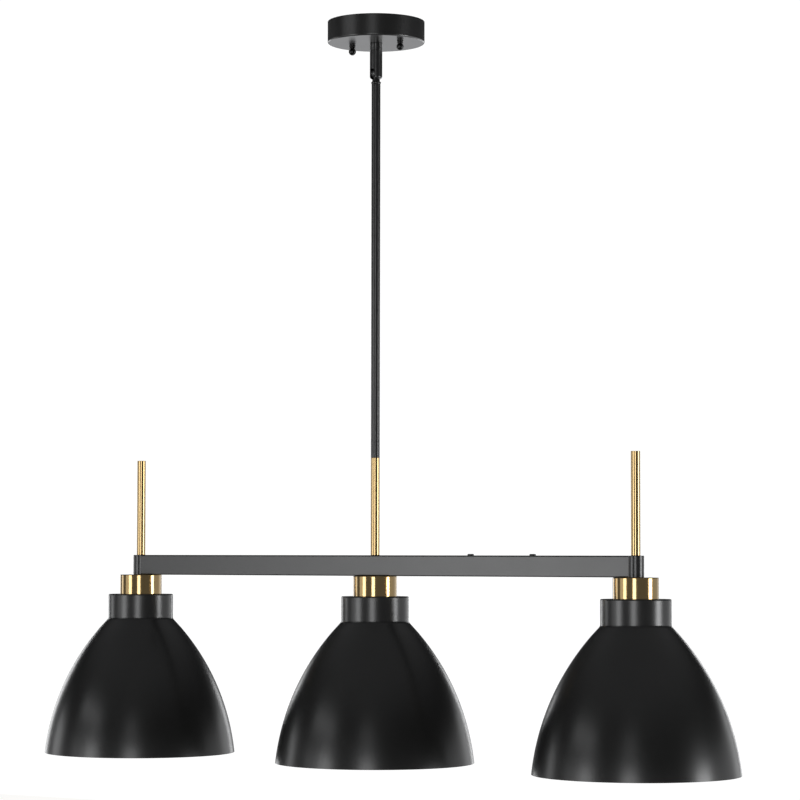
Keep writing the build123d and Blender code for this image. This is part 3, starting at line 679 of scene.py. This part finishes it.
@dataclass
class Swivel:
    """Hang-straight swivel: collar, turning housing with its slot, and ball stem."""

    edge: float = 0.5 * MM
    end_edge: float = 3.2 * MM
    spigot: float = 6.1 * MM
    housing_bore: float = 6.15 * MM
    thread_bore: float = 4.95 * MM
    lead_bore: float = 3.1 * MM
    thread_depth: float = 7.0 * MM
    collar_height: float = 8.8 * MM
    groove_drop: float = 7.3 * MM
    groove_height: float = 1.2 * MM
    groove_depth: float = 0.7 * MM
    slot_half: float = 5.0 * MM
    end_hole: float = 4.0 * MM
    slot_azimuth: float = radians(252.0)
    ball_above_end: float = 7.7 * MM
    stem: float = 3.7 * MM
    stem_bore: float = 2.5 * MM
    stem_gap: float = 0.3 * MM
    neck_top: float = 4.6 * MM
    neck: float = 4.9 * MM
    neck_height: float = 3.0 * MM
    flange_drop: float = 4.3 * MM
    foot_height: float = 6.0 * MM
    foot: float = 5.5 * MM
    thread: float = 4.0 * MM

    def build(self) -> None:
        """Build and dress the three pieces."""
        self._collar()
        self._housing()
        self._stem()

    def _collar(self) -> None:
        """Collar and grooved spigot in one turning."""
        low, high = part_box("swivel_collar")
        radius = node_radius("swivel_collar")
        end = high.z - self.collar_height
        groove = end - self.groove_drop
        section = rounded([
            (self.thread_bore, high.z, 0), (radius, high.z, self.edge), (radius, end, self.edge),
            (self.spigot, end, 0), (self.spigot, groove, 0), (self.spigot - self.groove_depth, groove, 0),
            (self.spigot - self.groove_depth, groove - self.groove_height, 0),
            (self.spigot, groove - self.groove_height, 0), (self.spigot, low.z, self.edge),
            (self.lead_bore, low.z, 0), (self.lead_bore, high.z - self.thread_depth, 0),
            (self.thread_bore, high.z - self.thread_depth, 0)])
        collar = LATHE.turn("swivel_collar_turned", section, BLACK_ENAMEL)
        dress(flatten_shading(collar), "canopy_unit", Slot.BLACK, "swivel_collar")

    def _housing(self) -> None:
        """Housing with its ball seat, round end and side slot."""
        low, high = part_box("swivel_housing")
        radius = node_radius("swivel_housing")
        ball_z = low.z + self.ball_above_end
        bore = self.housing_bore
        seat_end = ball_z - sqrt(bore**2 - self.end_hole**2)
        seat = ball_arc(bore, ball_z, -2, -89, above=seat_end)
        groove = high.z - self.groove_drop
        section = rounded([
            (self.end_hole, low.z, 0), (radius, low.z, self.end_edge), (radius, high.z, self.edge),
            (bore, high.z, 0), (bore, groove, 0), (bore + self.groove_depth, groove, 0),
            (bore + self.groove_depth, groove - self.groove_height, 0),
            (bore, groove - self.groove_height, 0),
            (bore, ball_z, 0)]) + seat + [(self.end_hole, seat_end)]
        housing = LATHE.turn("swivel_housing_turned", section, BLACK_ENAMEL)
        turn = Matrix.Rotation(self.slot_azimuth, 4, "Z")
        past = radius * 1.3
        gap = brick("slot", Vector((0, -self.slot_half, low.z - MM)),
                    Vector((past, self.slot_half, ball_z)))
        arch = cylinder("arch", self.slot_half, Vector((0, 0, ball_z)), Vector((past, 0, ball_z)),
                        Quality.SMALL.value)
        for cutter in (gap, arch):
            cutter.data.transform(turn)
            cut(housing, cutter)
        dress(flatten_shading(housing), "swivel", Slot.BLACK, "swivel_housing")

    def _stem(self) -> None:
        """Ball, thin stem, neck, flange and thread in one turning."""
        low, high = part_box("swivel_ball_stem")
        housing_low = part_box("swivel_housing")[0].z
        ball_z = housing_low + self.ball_above_end
        ball = self.spigot
        neck_z = housing_low - self.stem_gap
        foot_z = neck_z - self.foot_height
        flange_z = neck_z - self.flange_drop
        flange = node_radius("swivel_ball_stem")
        stem_z = ball_z - sqrt(ball**2 - self.stem**2)
        arc = ball_arc(ball, ball_z, -80, 81, above=stem_z, below=high.z)
        body = rounded([
            (self.stem, stem_z, 0), (self.stem, neck_z, 0.2 * MM), (self.neck_top, neck_z, 0.3 * MM),
            (self.neck, neck_z - self.neck_height, 0.6 * MM),
            (flange - 0.6 * MM, flange_z + 1.2 * MM, 0.4 * MM),
            (flange, flange_z + 0.6 * MM, 0.3 * MM), (flange, flange_z - 0.6 * MM, 0.4 * MM),
            (self.foot, foot_z, 0), (self.thread, foot_z, 0), (self.thread, low.z, self.edge),
            (self.stem_bore, low.z, 0), (self.stem_bore, high.z, 0)])
        section = body + list(reversed(arc))
        stem = LATHE.turn("swivel_ball_stem_turned", section, BLACK_ENAMEL)
        dress(stem, "hanging_frame", Slot.BLACK, "swivel_ball_stem")


@dataclass
class Rods:
    """The stacked rods and the two short rods on the bar's ends."""

    bore: float = 4.05 * MM
    edge: float = 0.35 * MM
    stud_bore: float = 3.05 * MM
    stud_depth: float = 18.0 * MM

    def build(self) -> None:
        """Build and dress all five rods."""
        for node, slot in (("upper_downrod", Slot.BLACK), ("lower_downrod", Slot.BLACK),
                           ("brass_stem", Slot.BRASS)):
            self._tube(node, slot)
        for side in SIDES:
            self._end_rod(f"end_rod_{side}")

    def _tube(self, node: str, slot: Slot) -> None:
        """Hollow rod with broken edges."""
        low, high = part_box(node)
        radius = node_radius(node)
        section = rounded([(self.bore, low.z, 0), (radius, low.z, self.edge), (radius, high.z, self.edge),
                           (self.bore, high.z, 0)])
        rod = LATHE.turn(node + "_turned", section, slot.finish)
        dress(flatten_shading(rod), "hanging_frame", slot, node)

    def _end_rod(self, node: str) -> None:
        """Solid rod with a flat top and a blind threaded hole in its foot."""
        low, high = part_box(node)
        radius, centre = node_radius(node), node_centre(node)
        section = rounded([(self.stud_bore, low.z, 0), (radius, low.z, self.edge),
                           (radius, high.z, self.edge), (0.0, high.z, 0), (0.0, low.z + self.stud_depth, 0),
                           (self.stud_bore, low.z + self.stud_depth, 0)])
        rod = LATHE.turn(node + "_turned", section, BRASS, centre=Vector((centre.x, centre.y, 0)))
        dress(flatten_shading(rod), "hanging_frame", Slot.BRASS, node)


@dataclass
class Bar:
    """Rectangular bar with its round ends, flush cover and cover screws."""

    wall: float = 1.5 * MM
    edge: float = 1.7 * MM
    sleeve_edge: float = 0.5 * MM
    cover_edge: float = 0.25 * MM
    cover_play: float = 0.2 * MM
    nipple_hole: float = 5.1 * MM
    stem_hole: float = 4.2 * MM
    stud_hole: float = 3.2 * MM
    screw_head: float = 3.85 * MM
    screw_head_height: float = 1.8 * MM
    screw_edge: float = 0.9 * MM
    screw_shank: float = 2.0 * MM
    recess: tuple[float, float, float] = (4.2 * MM, 0.9 * MM, 0.8 * MM)
    flat_steps: int = 12

    def build(self) -> None:
        """Build and dress the bar's pieces."""
        self._tube()
        for side in SIDES:
            self._sleeve(side)
        self._cover()
        self._screws()

    def _section(self, half_depth: float, half_height: float) -> list[Point2]:
        """Rounded rectangle as (depth, height) points, with extra points along the flats."""
        corners = [(half_depth, -half_height), (half_depth, half_height), (-half_depth, half_height),
                   (-half_depth, -half_height)]
        outline = rounded([(y, z, self.edge) for y, z in corners])
        points: list[Point2] = []
        for i, start in enumerate(outline):
            end = outline[(i + 1) % len(outline)]
            far = hypot(end[0] - start[0], end[1] - start[1])
            points += divided(start, end, 2 * half_depth / self.flat_steps if far > self.edge else far)
        return points

    def _tube(self) -> None:
        """Tube whose ends are coped round the sleeves, opened under the cover."""
        low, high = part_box("bar_tube")
        half = Vector((0, (high.y - low.y) / 2, (high.z - low.z) / 2))
        middle = (low.z + high.z) / 2
        end_x = node_centre("bar_end_sleeve_right").x
        sleeve = node_radius("bar_end_sleeve_right")
        outer = self._section(half.y, half.z)
        share = ((half.y - self.wall) / half.y, (half.z - self.wall) / half.z)
        loops = [outer, [(y * share[0], z * share[1]) for y, z in outer]]
        count = len(outer)
        verts, faces = [], []
        for side in (-1, 1):
            for loop in loops:
                verts += [(side * (end_x - sqrt(sleeve**2 - y * y)), y, middle + z) for y, z in loop]
        for i in range(count):
            j = (i + 1) % count
            lo, li, ro, ri = (k * count for k in range(4))
            faces += [(lo + i, lo + j, ro + j, ro + i), (li + j, li + i, ri + i, ri + j),
                      (lo + j, lo + i, li + i, li + j), (ro + i, ro + j, ri + j, ri + i)]
        mesh = bpy.data.meshes.new("bar_tube_welded")
        mesh.from_pydata(verts, [], faces)
        mesh.materials.append(BLACK_ENAMEL.build())
        tube = clean(new_object("bar_tube_welded", mesh))
        c_low, c_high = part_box("bar_access_cover")
        play = Vector((self.cover_play, self.cover_play, 0))
        cut(tube, brick("opening", c_low - play - Vector((0, 0, self.wall / 2)),
                        c_high + play + Vector((0, 0, self.wall))))
        for radius, z in ((self.stem_hole, high.z), (self.nipple_hole, low.z)):
            drill(tube, radius, 0, z - 2 * self.wall, z + 2 * self.wall)
        dress(flatten_shading(tube), "hanging_frame", Slot.BLACK, "bar_tube")

    def _sleeve(self, side: str) -> None:
        """Upright round end: closed top and bottom, open to the bar inside."""
        node = f"bar_end_sleeve_{side}"
        low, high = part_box(node)
        radius, inner = node_radius(node), node_radius(node) - self.wall
        centre = node_centre(node)
        section = rounded([
            (self.nipple_hole, low.z, 0), (radius, low.z, self.sleeve_edge),
            (radius, high.z, self.sleeve_edge), (self.stud_hole, high.z, 0),
            (self.stud_hole, high.z - self.wall, 0), (inner, high.z - self.wall, 0),
            (inner, low.z + self.wall, 0), (self.nipple_hole, low.z + self.wall, 0)])
        sleeve = LATHE.turn(node + "_turned", section, BLACK_ENAMEL, centre=Vector((centre.x, 0, 0)))
        b_low, b_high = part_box("bar_tube")
        inward = -1 if centre.x > 0 else 1
        ends = sorted((centre.x + inward * 2 * self.wall, centre.x + inward * 1.2 * radius))
        cut(sleeve, brick("window", Vector((ends[0], b_low.y + self.wall, low.z + self.wall)),
                          Vector((ends[1], b_high.y - self.wall, high.z - self.wall))))
        dress(flatten_shading(sleeve), "hanging_frame", Slot.BLACK, node)

    def _cover(self) -> None:
        """Flush cover plate with broken edges and its two screw holes."""
        low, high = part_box("bar_access_cover")
        plate = brick("bar_access_cover_plate", low, high)
        plate.data.materials.append(BLACK_ENAMEL.build())
        bevel = plate.modifiers.new("edges", "BEVEL")
        bevel.width, bevel.segments = self.cover_edge, 3
        clean(bake(plate))
        for x in self._screw_places():
            drill(plate, self.screw_shank + self.cover_play, x, low.z - self.wall, high.z + self.wall)
        dress(flatten_shading(plate), "hanging_frame", Slot.BLACK, "bar_access_cover")

    def _screw_places(self) -> tuple[float, float]:
        """Places of the two cover screws along the bar."""
        low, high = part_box("cover_screws")
        return low.x + self.screw_head, high.x - self.screw_head

    def _screws(self) -> None:
        """The pan-head cover screws, copied in a row."""
        low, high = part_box("cover_screws")
        first, last = self._screw_places()
        seat = high.z - self.screw_head_height
        section = rounded([(0.0, high.z, 0), (self.screw_head, high.z, self.screw_edge),
                           (self.screw_head, seat, 0.15 * MM), (self.screw_shank, seat, 0),
                           (self.screw_shank, low.z, 0.3 * MM), (0.0, low.z, 0)])
        screw = LATHE.turn("cover_screw", section, BLACK_ENAMEL, Quality.SMALL)
        length, width, depth = self.recess
        for x, y in ((length / 2, width / 2), (width / 2, length / 2)):
            cut(screw, brick("recess", Vector((-x, -y, high.z - depth)), Vector((x, y, high.z + depth))))
        row = new_object("cover_screws_turned", bpy.data.meshes.new("cover_screws_turned"))
        ROW.run(row, Count=2, Shape=screw, First=(first, 0.0, 0.0), Step=(last - first, 0.0, 0.0),
                Finish=BLACK_ENAMEL.build())
        bpy.data.objects.remove(screw)
        dress(clean(row), "hanging_frame", Slot.BLACK, "cover_screws")


@dataclass
class Lamp:
    """One lamp: brass cup, socket with its screw shell, shade and shade ring."""

    name: str
    cup_wall: float = 1.0 * MM
    cup_top: float = 1.2 * MM
    cup_edge: float = 1.0 * MM
    cup_rim: float = 0.3 * MM
    nipple_hole: float = 5.1 * MM
    shade_wall: float = 1.0 * MM
    shade_neck: float = 41.5 * MM
    shade_neck_height: float = 31.4 * MM
    shade_edge: float = 1.6 * MM
    shade_fillet: float = 5.0 * MM
    dome_radius: float = 292.4 * MM
    shade_hole: float = 20.3 * MM
    rim_edge: float = 0.35 * MM
    socket_top: float = 9.0 * MM
    socket_edge: float = 0.8 * MM
    socket_bore: float = 14.0 * MM
    chamber: float = 12.0 * MM
    chamber_height: float = 7.0 * MM
    partition: float = 4.0 * MM
    rivet_hole: float = 1.55 * MM
    thread_pitch: float = 2.5 * MM
    thread_depth: float = 0.5 * MM
    shell_inner: float = 13.2 * MM
    shell_wall: float = 0.7 * MM
    shell_mouth: float = 5.0 * MM
    shell_pitch: float = 3.6 * MM     # seven turns to the inch, as an E26 base has
    shell_depth: float = 0.55 * MM
    ring_bore: float = 19.35 * MM
    ring_edge: float = 0.6 * MM
    ring_grips: int = 12
    ring_grip: float = 1.2 * MM
    grip_facets: int = 24
    ring_play: float = 0.04 * MM      # gap under the shade, so the ring's face never crosses its plate

    def build(self) -> None:
        """Build and dress the lamp's pieces."""
        self.centre = Vector((node_centre(f"shade_{self.name}").x, 0.0, 0.0))
        self._cup()
        self._socket()
        self._shell()
        self._shade()
        self._ring()

    def _cup(self) -> None:
        """Spun cup over the socket."""
        node = f"cup_{self.name}"
        low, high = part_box(node)
        radius, inner = node_radius(node), node_radius(node) - self.cup_wall
        section = rounded([
            (self.nipple_hole, high.z, 0), (radius, high.z, self.cup_edge), (radius, low.z, self.cup_rim),
            (inner, low.z, self.cup_rim), (inner, high.z - self.cup_top, self.cup_edge / 2),
            (self.nipple_hole, high.z - self.cup_top, 0)])
        cup = LATHE.turn(node + "_spun", section, BRASS, Quality.FINE, self.centre)
        dress(flatten_shading(cup), "hanging_frame", Slot.BRASS, node)

    def _socket(self) -> None:
        """Moulded socket with the coarse outer thread for the ring."""
        node = f"socket_body_{self.name}"
        low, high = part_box(node)
        radius = node_radius(node) - self.thread_depth / 2
        chamber_z = high.z - self.socket_top
        partition_z = chamber_z - self.chamber_height
        shell_z = partition_z - self.partition
        wall = divided((radius, low.z + self.socket_edge), (radius, high.z - self.socket_edge),
                       self.thread_pitch / 8)
        section = rounded([(self.nipple_hole, high.z, 0), (self.nipple_hole, chamber_z, 0),
                           (self.chamber, chamber_z, 0), (self.chamber, partition_z, 0),
                           (self.rivet_hole, partition_z, 0), (self.rivet_hole, shell_z, 0),
                           (self.socket_bore, shell_z, 0), (self.socket_bore, low.z, self.socket_edge / 2),
                           (radius - self.socket_edge, low.z, 0)])
        section += wall + [(radius, high.z - self.socket_edge), (radius - self.socket_edge, high.z)]
        socket = LATHE.turn(node + "_moulded", section, PHENOLIC, centre=self.centre)
        cut_thread(socket, self.centre, radius, low.z + self.socket_edge, shell_z, self.thread_pitch,
                   self.thread_depth)
        dress(clean(socket), "hanging_frame", Slot.PHENOLIC, node)

    def _shell(self) -> None:
        """Rolled screw shell that takes the lamp base."""
        node = f"screw_shell_{self.name}"
        low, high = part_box(node)
        outer = self.shell_inner + self.shell_wall
        step = self.shell_pitch / 10
        top = high.z - self.shell_wall
        section = [(self.shell_mouth, high.z)] + divided((outer - step, high.z), (outer, high.z - step), step)
        section += divided((outer, high.z - step), (outer, low.z), step)
        section += divided((outer, low.z), (self.shell_inner, low.z), step)
        section += divided((self.shell_inner, low.z), (self.shell_inner, top), step)
        section += [(self.shell_inner, top), (self.shell_mouth, top)]
        shell = LATHE.turn(node + "_rolled", section, SHELL_METAL, centre=self.centre)
        for radius in (outer - self.shell_depth / 2, self.shell_inner):
            cut_thread(shell, self.centre, radius, low.z + step, high.z - 4 * step, self.shell_pitch,
                       self.shell_depth)
        dress(clean(shell), "hanging_frame", Slot.SHELL, node)

    def _dome(self, inset: float, top: float, rim: float) -> list[Point2]:
        """Outer or inner wall of the shade, from its top down to its rim.

        Args:
            inset: distance in from the outer face.
            top: height of the shade's top.
            rim: height of its rim.

        Returns:
            Points from the neck's top edge to the rim.
        """
        rim_r = node_radius(f"shade_{self.name}")
        foot = Vector((self.shade_neck, top - self.shade_neck_height))
        end = Vector((rim_r, rim))
        half = (end - foot) / 2
        normal = Vector((half.y, -half.x)).normalized()
        centre = foot + half + normal * sqrt(self.dome_radius**2 - half.length_squared)
        radius, neck = self.dome_radius - inset, self.shade_neck - inset
        foot_z = centre.y + sqrt(radius**2 - (neck - centre.x) ** 2)
        start = atan2(foot_z - centre.y, neck - centre.x)
        stop = atan2(rim - centre.y, sqrt(radius**2 - (rim - centre.y) ** 2))
        steps = 48
        arc = [(centre.x + radius * cos(start + (stop - start) * k / steps),
                centre.y + radius * sin(start + (stop - start) * k / steps)) for k in range(1, steps + 1)]
        edge = self.shade_edge - inset
        corners = [(0.0, top - inset, 0.0), (neck, top - inset, edge),
                   (neck, foot_z, self.shade_fillet + inset), (*arc[3], 0.0)]
        # Points of the arc that the fillet has taken up are left out.
        return rounded(corners)[1:] + arc[4:]

    def _shade(self) -> None:
        """Spun shade: black outside and round the rim, white inside."""
        node = f"shade_{self.name}"
        low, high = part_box(node)
        outer = self._dome(0.0, high.z, low.z)
        inner = self._dome(self.shade_wall, high.z, low.z)
        section = [(self.shade_hole, high.z)] + outer + list(reversed(inner))
        section += [(self.shade_hole, high.z - self.shade_wall)]
        shade = LATHE.turn(node + "_spun", section, BLACK_ENAMEL, Quality.FINE, self.centre)
        shade.data.materials.append(WHITE_ENAMEL.build())
        inner_top = high.z - self.shade_wall * 1.5
        for face in shade.data.polygons:
            out = face.center - self.centre
            inward = face.normal.x * out.x + face.normal.y * out.y < -0.2 * hypot(out.x, out.y)
            under = face.normal.z < -0.5 and face.center.z > inner_top - self.shade_edge
            face.material_index = 1 if inward and face.center.z < high.z - self.shade_wall or under else 0
        dress(flatten_shading(shade), f"shade_{self.name}_body", Slot.BLACK, node)

    def _ring(self) -> None:
        """Threaded ring with scalloped finger grips."""
        node = f"shade_ring_{self.name}"
        low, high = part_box(node)
        radius = node_radius(node) + 0.03 * MM
        top = high.z - self.ring_play
        section = rounded([(self.ring_bore, top, 0), (radius, top, self.ring_edge / 2),
                           (radius, low.z, self.ring_edge), (self.ring_bore, low.z, self.ring_edge / 2)])
        ring = LATHE.turn(node + "_moulded", section, PHENOLIC, Quality.MEDIUM)
        scallop = cylinder("scallop", self.ring_grip, Vector((0, 0, low.z - MM)),
                           Vector((0, 0, high.z + MM)), self.grip_facets)
        grips = new_object("grips", bpy.data.meshes.new("grips"))
        RING.run(grips, Count=self.ring_grips, Shape=scallop, RingRadius=radius, Finish=PHENOLIC.build())
        bpy.data.objects.remove(scallop)
        cut(ring, grips)
        ring.data.transform(Matrix.Translation(self.centre))
        dress(flatten_shading(ring), f"ring_{self.name}", Slot.RING, node)


@dataclass
class Wiring:
    """Twist-on connectors in the canopy, and the hidden leads and hardware."""

    ribs: int = 14
    rib: float = 0.45 * MM
    mouth: float = 4.05 * MM
    tip: float = 2.6 * MM
    length: float = 18.0 * MM
    reach: float = 18.0 * MM
    azimuths: tuple[float, ...] = (90.0, 210.0, 330.0)
    kept: dict[Slot, tuple[str, ...]] = field(default_factory=lambda: {
        Slot.ZINC: ("box_strap", "canopy_strap", "strap_retainer", "canopy_studs", "stud_nuts",
                    "canopy_nipple", "canopy_spread_washer", "canopy_tooth_washer", "canopy_lock_nut",
                    "downrod_nipples", "stem_nipple", "stem_lock_nut", "cover_bridges", "end_rod_studs",
                    "end_rod_nuts", "lamp_nipples", "lamp_lock_nuts"),
        Slot.SPRING: ("swivel_snap_ring",),
        Slot.GREEN: ("ground_screw",),
        Slot.JACKET: ("supply_lead_upper", "supply_lead_lower", "lamp_lead_left", "lamp_lead_center",
                      "lamp_lead_right"),
        Slot.CONNECTOR: ("terminal_block",),
        Slot.CONTACT: ("socket_contacts",),
    })

    def build(self) -> None:
        """Build the connectors and dress the kept solids."""
        self._connectors()
        for slot, nodes in self.kept.items():
            for node in nodes:
                keep(node, slot)

    def _connectors(self) -> None:
        """Ribbed cones on the three conductors."""
        low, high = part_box("wire_connectors")
        height = (low.z + high.z) / 2
        section = rounded([(0.0, 0.0, 0), (self.mouth, 0.0, 0.3 * MM),
                           (self.mouth, self.length * 0.15, 0.3 * MM),
                           (self.tip, self.length, 1.0 * MM), (0.0, self.length, 0)])
        cone = LATHE.turn("cone", section, CONNECTOR, Quality.SMALL)
        rib = brick("rib", Vector((-self.rib, -self.rib / 2, self.length * 0.2)),
                    Vector((self.rib, self.rib / 2, self.length * 0.9)))
        lean = (self.tip - self.mouth) / (self.length * 0.85)
        for vertex in rib.data.vertices:
            vertex.co.x += (vertex.co.z - self.length * 0.15) * lean
        ribs = new_object("ribs", bpy.data.meshes.new("ribs"))
        RING.run(ribs, Count=self.ribs, Shape=rib, RingRadius=self.mouth - self.rib / 2,
                 Finish=CONNECTOR.build())
        join = cone.modifiers.new("join", "BOOLEAN")
        join.operation, join.solver, join.object = "UNION", "EXACT", ribs
        bake(cone)
        for spare in (rib, ribs):
            bpy.data.objects.remove(spare)
        work = bmesh.new()
        for azimuth in self.azimuths:
            copy = cone.data.copy()
            copy.transform(Matrix.Rotation(radians(90.0), 4, "Y"))
            copy.transform(Matrix.Translation((self.reach, 0, height)))
            copy.transform(Matrix.Rotation(radians(azimuth), 4, "Z"))
            work.from_mesh(copy)
        mesh = take_mesh(work, "wire_connectors_moulded")
        bpy.data.objects.remove(cone)
        mesh.materials.append(CONNECTOR.build())
        piece = clean(new_object("wire_connectors_moulded", mesh))
        dress(piece, "canopy_unit", Slot.CONNECTOR, "wire_connectors")


# ---------------------------------------------------------------- studio


@dataclass(frozen=True)
class SoftBox:
    """Upright soft light: azimuths run from the camera's side, to the right positive."""

    name: str
    start: float
    stop: float
    radiance: float
    distance: float = 6.0
    low: float = -4.2
    high: float = 0.3
    colour: str = "#fdfeff"


@dataclass
class Studio:
    """Camera, lights, backdrop colour and floor."""

    focal: float = 129.03
    sensor: float = 36.0
    distance: float = 3.5227
    bar_turn: float = radians(32.414)
    yaw: float = radians(0.492)
    pitch: float = radians(3.100)
    roll: float = radians(0.0875)
    floor_drop: float = 2.2
    floor_half: float = 20.0
    floor_glow: float = 0.98
    backdrop: float = 1.05
    # Sine of elevation and the level there, as reflections see it.
    surround: tuple[tuple[float, float], ...] = (
        (-0.5, 0.1), (-0.25, 0.05), (-0.1, 0.12), (0.12, 0.12), (0.2, 0.02), (0.4, 0.02), (0.75, 0.16))
    sweep_glow: float = 0.6
    sweep_side: float = 140.0
    sweep_depth: tuple[float, float] = (0.1, 0.6)       # where the glow starts and is full, to its side
    sweep_height: tuple[float, float] = (-0.17, -0.1)   # sine of elevation where it fades out
    boxes: tuple[SoftBox, ...] = (
        SoftBox("left_rear_strip", -125.0, -109.0, 1.0),
        SoftBox("left_bank_edge", -88.0, -67.0, 0.55),
        SoftBox("left_bank", -67.0, -51.0, 2.9),
        SoftBox("left_high_bank", -86.0, -52.0, 1.0, low=1.3, high=2.3),
        SoftBox("front_strip", -17.0, -2.0, 3.2),
        SoftBox("front_high_strip", -17.0, -2.0, 0.6, low=1.3, high=2.3),
        SoftBox("right_strip", 62.0, 80.0, 6.0, high=-0.1),
        SoftBox("right_side_bank", 82.0, 128.0, 0.26),
        SoftBox("right_rear_strip", 128.0, 144.0, 0.6),
        SoftBox("rear_right_strip", 152.0, 162.0, 1.6),
        SoftBox("rear_left_bank", -160.0, -146.0, 1.5),
    )

    def build(self) -> None:
        """Set up the whole studio."""
        self._camera()
        self._floor()
        self._world()
        for box in self.boxes:
            self._soft_box(box)
        bpy.context.scene.view_settings.view_transform = "Standard"
        bpy.context.scene.view_settings.look = "None"

    def _camera(self) -> None:
        """Camera at the photograph's place, level with the top of the bar."""
        bar_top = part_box("bar_tube")[1].z
        data = bpy.data.cameras.new("photo_camera")
        data.lens, data.sensor_width, data.clip_end = self.focal, self.sensor, 60.0
        camera = bpy.data.objects.new("photo_camera", data)
        bpy.context.scene.collection.objects.link(camera)
        heading = self.yaw - self.bar_turn
        ahead = Vector((sin(heading) * cos(self.pitch), cos(heading) * cos(self.pitch), sin(self.pitch)))
        right = Vector((cos(heading), -sin(heading), 0.0))
        up = right.cross(ahead)
        right, up = (cos(self.roll) * right + sin(self.roll) * up,
                     cos(self.roll) * up - sin(self.roll) * right)
        place = Matrix((right, up, -ahead)).transposed().to_4x4()
        place.translation = (self.distance * sin(self.bar_turn), -self.distance * cos(self.bar_turn), bar_top)
        camera.matrix_world = place
        bpy.context.scene.camera = camera

    def _around(self, azimuth: float, distance: float, height: float) -> Vector:
        """Point round the pendant at an azimuth in degrees from the camera's side."""
        angle = radians(azimuth) + self.bar_turn
        return Vector((distance * sin(angle), -distance * cos(angle), height))

    def _soft_box(self, box: SoftBox) -> None:
        """Area light that covers the box's azimuths and faces the pendant."""
        middle = (box.start + box.stop) / 2
        height = (box.low + box.high) / 2
        width = 2 * box.distance * tan(radians(box.stop - box.start) / 2)
        light = bpy.data.lights.new(box.name, "AREA")
        light.shape, light.size, light.size_y = "RECTANGLE", width, box.high - box.low
        light.energy = pi * box.radiance * width * (box.high - box.low)
        light.color = linear(box.colour)[:3]
        lamp = bpy.data.objects.new(box.name, light)
        bpy.context.scene.collection.objects.link(lamp)
        lamp.visible_camera = False
        lamp.location = self._around(middle, box.distance, height)
        towards = Vector((0, 0, height)) - lamp.location
        lamp.rotation_euler = towards.to_track_quat("-Z", "Y").to_euler()

    def _floor(self) -> None:
        """Plain pale floor, well below the shades."""
        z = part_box("shade_center")[0].z - self.floor_drop
        half = self.floor_half
        mesh = bpy.data.meshes.new("studio_floor")
        mesh.from_pydata([(-half, -half, z), (half, -half, z), (half, half, z), (-half, half, z)], [],
                         [(0, 1, 2, 3)])
        material = bpy.data.materials.new("studio_floor")
        material.use_nodes = True
        shader = material.node_tree.nodes["Principled BSDF"]
        shader.inputs["Base Color"].default_value = linear("#f2f1ef")
        shader.inputs["Roughness"].default_value = 0.9
        shader.inputs["Emission Color"].default_value = linear("#f2f1ef")
        shader.inputs["Emission Strength"].default_value = self.floor_glow
        mesh.materials.append(material)
        floor = new_object("studio_floor", mesh)
        floor.visible_glossy = False

    def _world(self) -> None:
        """White backdrop to the eye; in reflections, levels by height and a low glow behind."""
        world = bpy.data.worlds.new("studio")
        bpy.context.scene.world = world
        world.use_nodes = True
        tree = world.node_tree
        tree.nodes.clear()
        place = add_node(tree, "ShaderNodeTexCoord").outputs["Generated"]
        height = add_node(tree, "ShaderNodeSeparateXYZ", inputs={0: place}).outputs["Z"]
        share = add_node(tree, "ShaderNodeMapRange", inputs={
            "Value": height, "From Min": -1.0, "From Max": 1.0})
        ramp = add_node(tree, "ShaderNodeValToRGB", inputs={0: share.outputs[0]})
        stops = ramp.color_ramp.elements
        for i, (sine, level) in enumerate(self.surround):
            stop = stops[i] if i < len(stops) else stops.new(1.0)
            stop.position, stop.color = (sine + 1) / 2, (level, level, level, 1.0)
        side = radians(self.sweep_side) + self.bar_turn
        away = (sin(side), -cos(side), 0.0)
        depth = add_node(tree, "ShaderNodeVectorMath", {"operation": "DOT_PRODUCT"}, {0: place, 1: away})
        behind = add_node(tree, "ShaderNodeMapRange", inputs={
            "Value": depth.outputs["Value"], "From Min": self.sweep_depth[0],
            "From Max": self.sweep_depth[1]})
        low = add_node(tree, "ShaderNodeMapRange", inputs={
            "Value": height, "From Min": self.sweep_height[0], "From Max": self.sweep_height[1],
            "To Min": self.sweep_glow, "To Max": 0.0})
        level = add_node(tree, "ShaderNodeMath", {"operation": "MULTIPLY_ADD"},
                         {0: low.outputs[0], 1: behind.outputs[0], 2: ramp.outputs[0]})
        around = add_node(tree, "ShaderNodeBackground", inputs={"Strength": level.outputs[0]})
        white = add_node(tree, "ShaderNodeBackground", inputs={"Strength": self.backdrop})
        around.inputs["Color"].default_value = linear("#fcfdff")
        white.inputs["Color"].default_value = linear("#ffffff")
        eye = add_node(tree, "ShaderNodeLightPath").outputs["Is Camera Ray"]
        mixed = add_node(tree, "ShaderNodeMixShader", inputs={
            0: eye, 1: around.outputs[0], 2: white.outputs[0]})
        add_node(tree, "ShaderNodeOutputWorld", inputs={0: mixed.outputs[0]})


def main() -> None:
    """Build the studio, then every sub-assembly in order."""
    logging.basicConfig(level=logging.INFO, format="%(message)s")
    Studio().build()
    Canopy().build()
    Swivel().build()
    Rods().build()
    Bar().build()
    for name in ("left", "center", "right"):
        Lamp(name).build()
    Wiring().build()


if __name__ == "__main__":
    main()
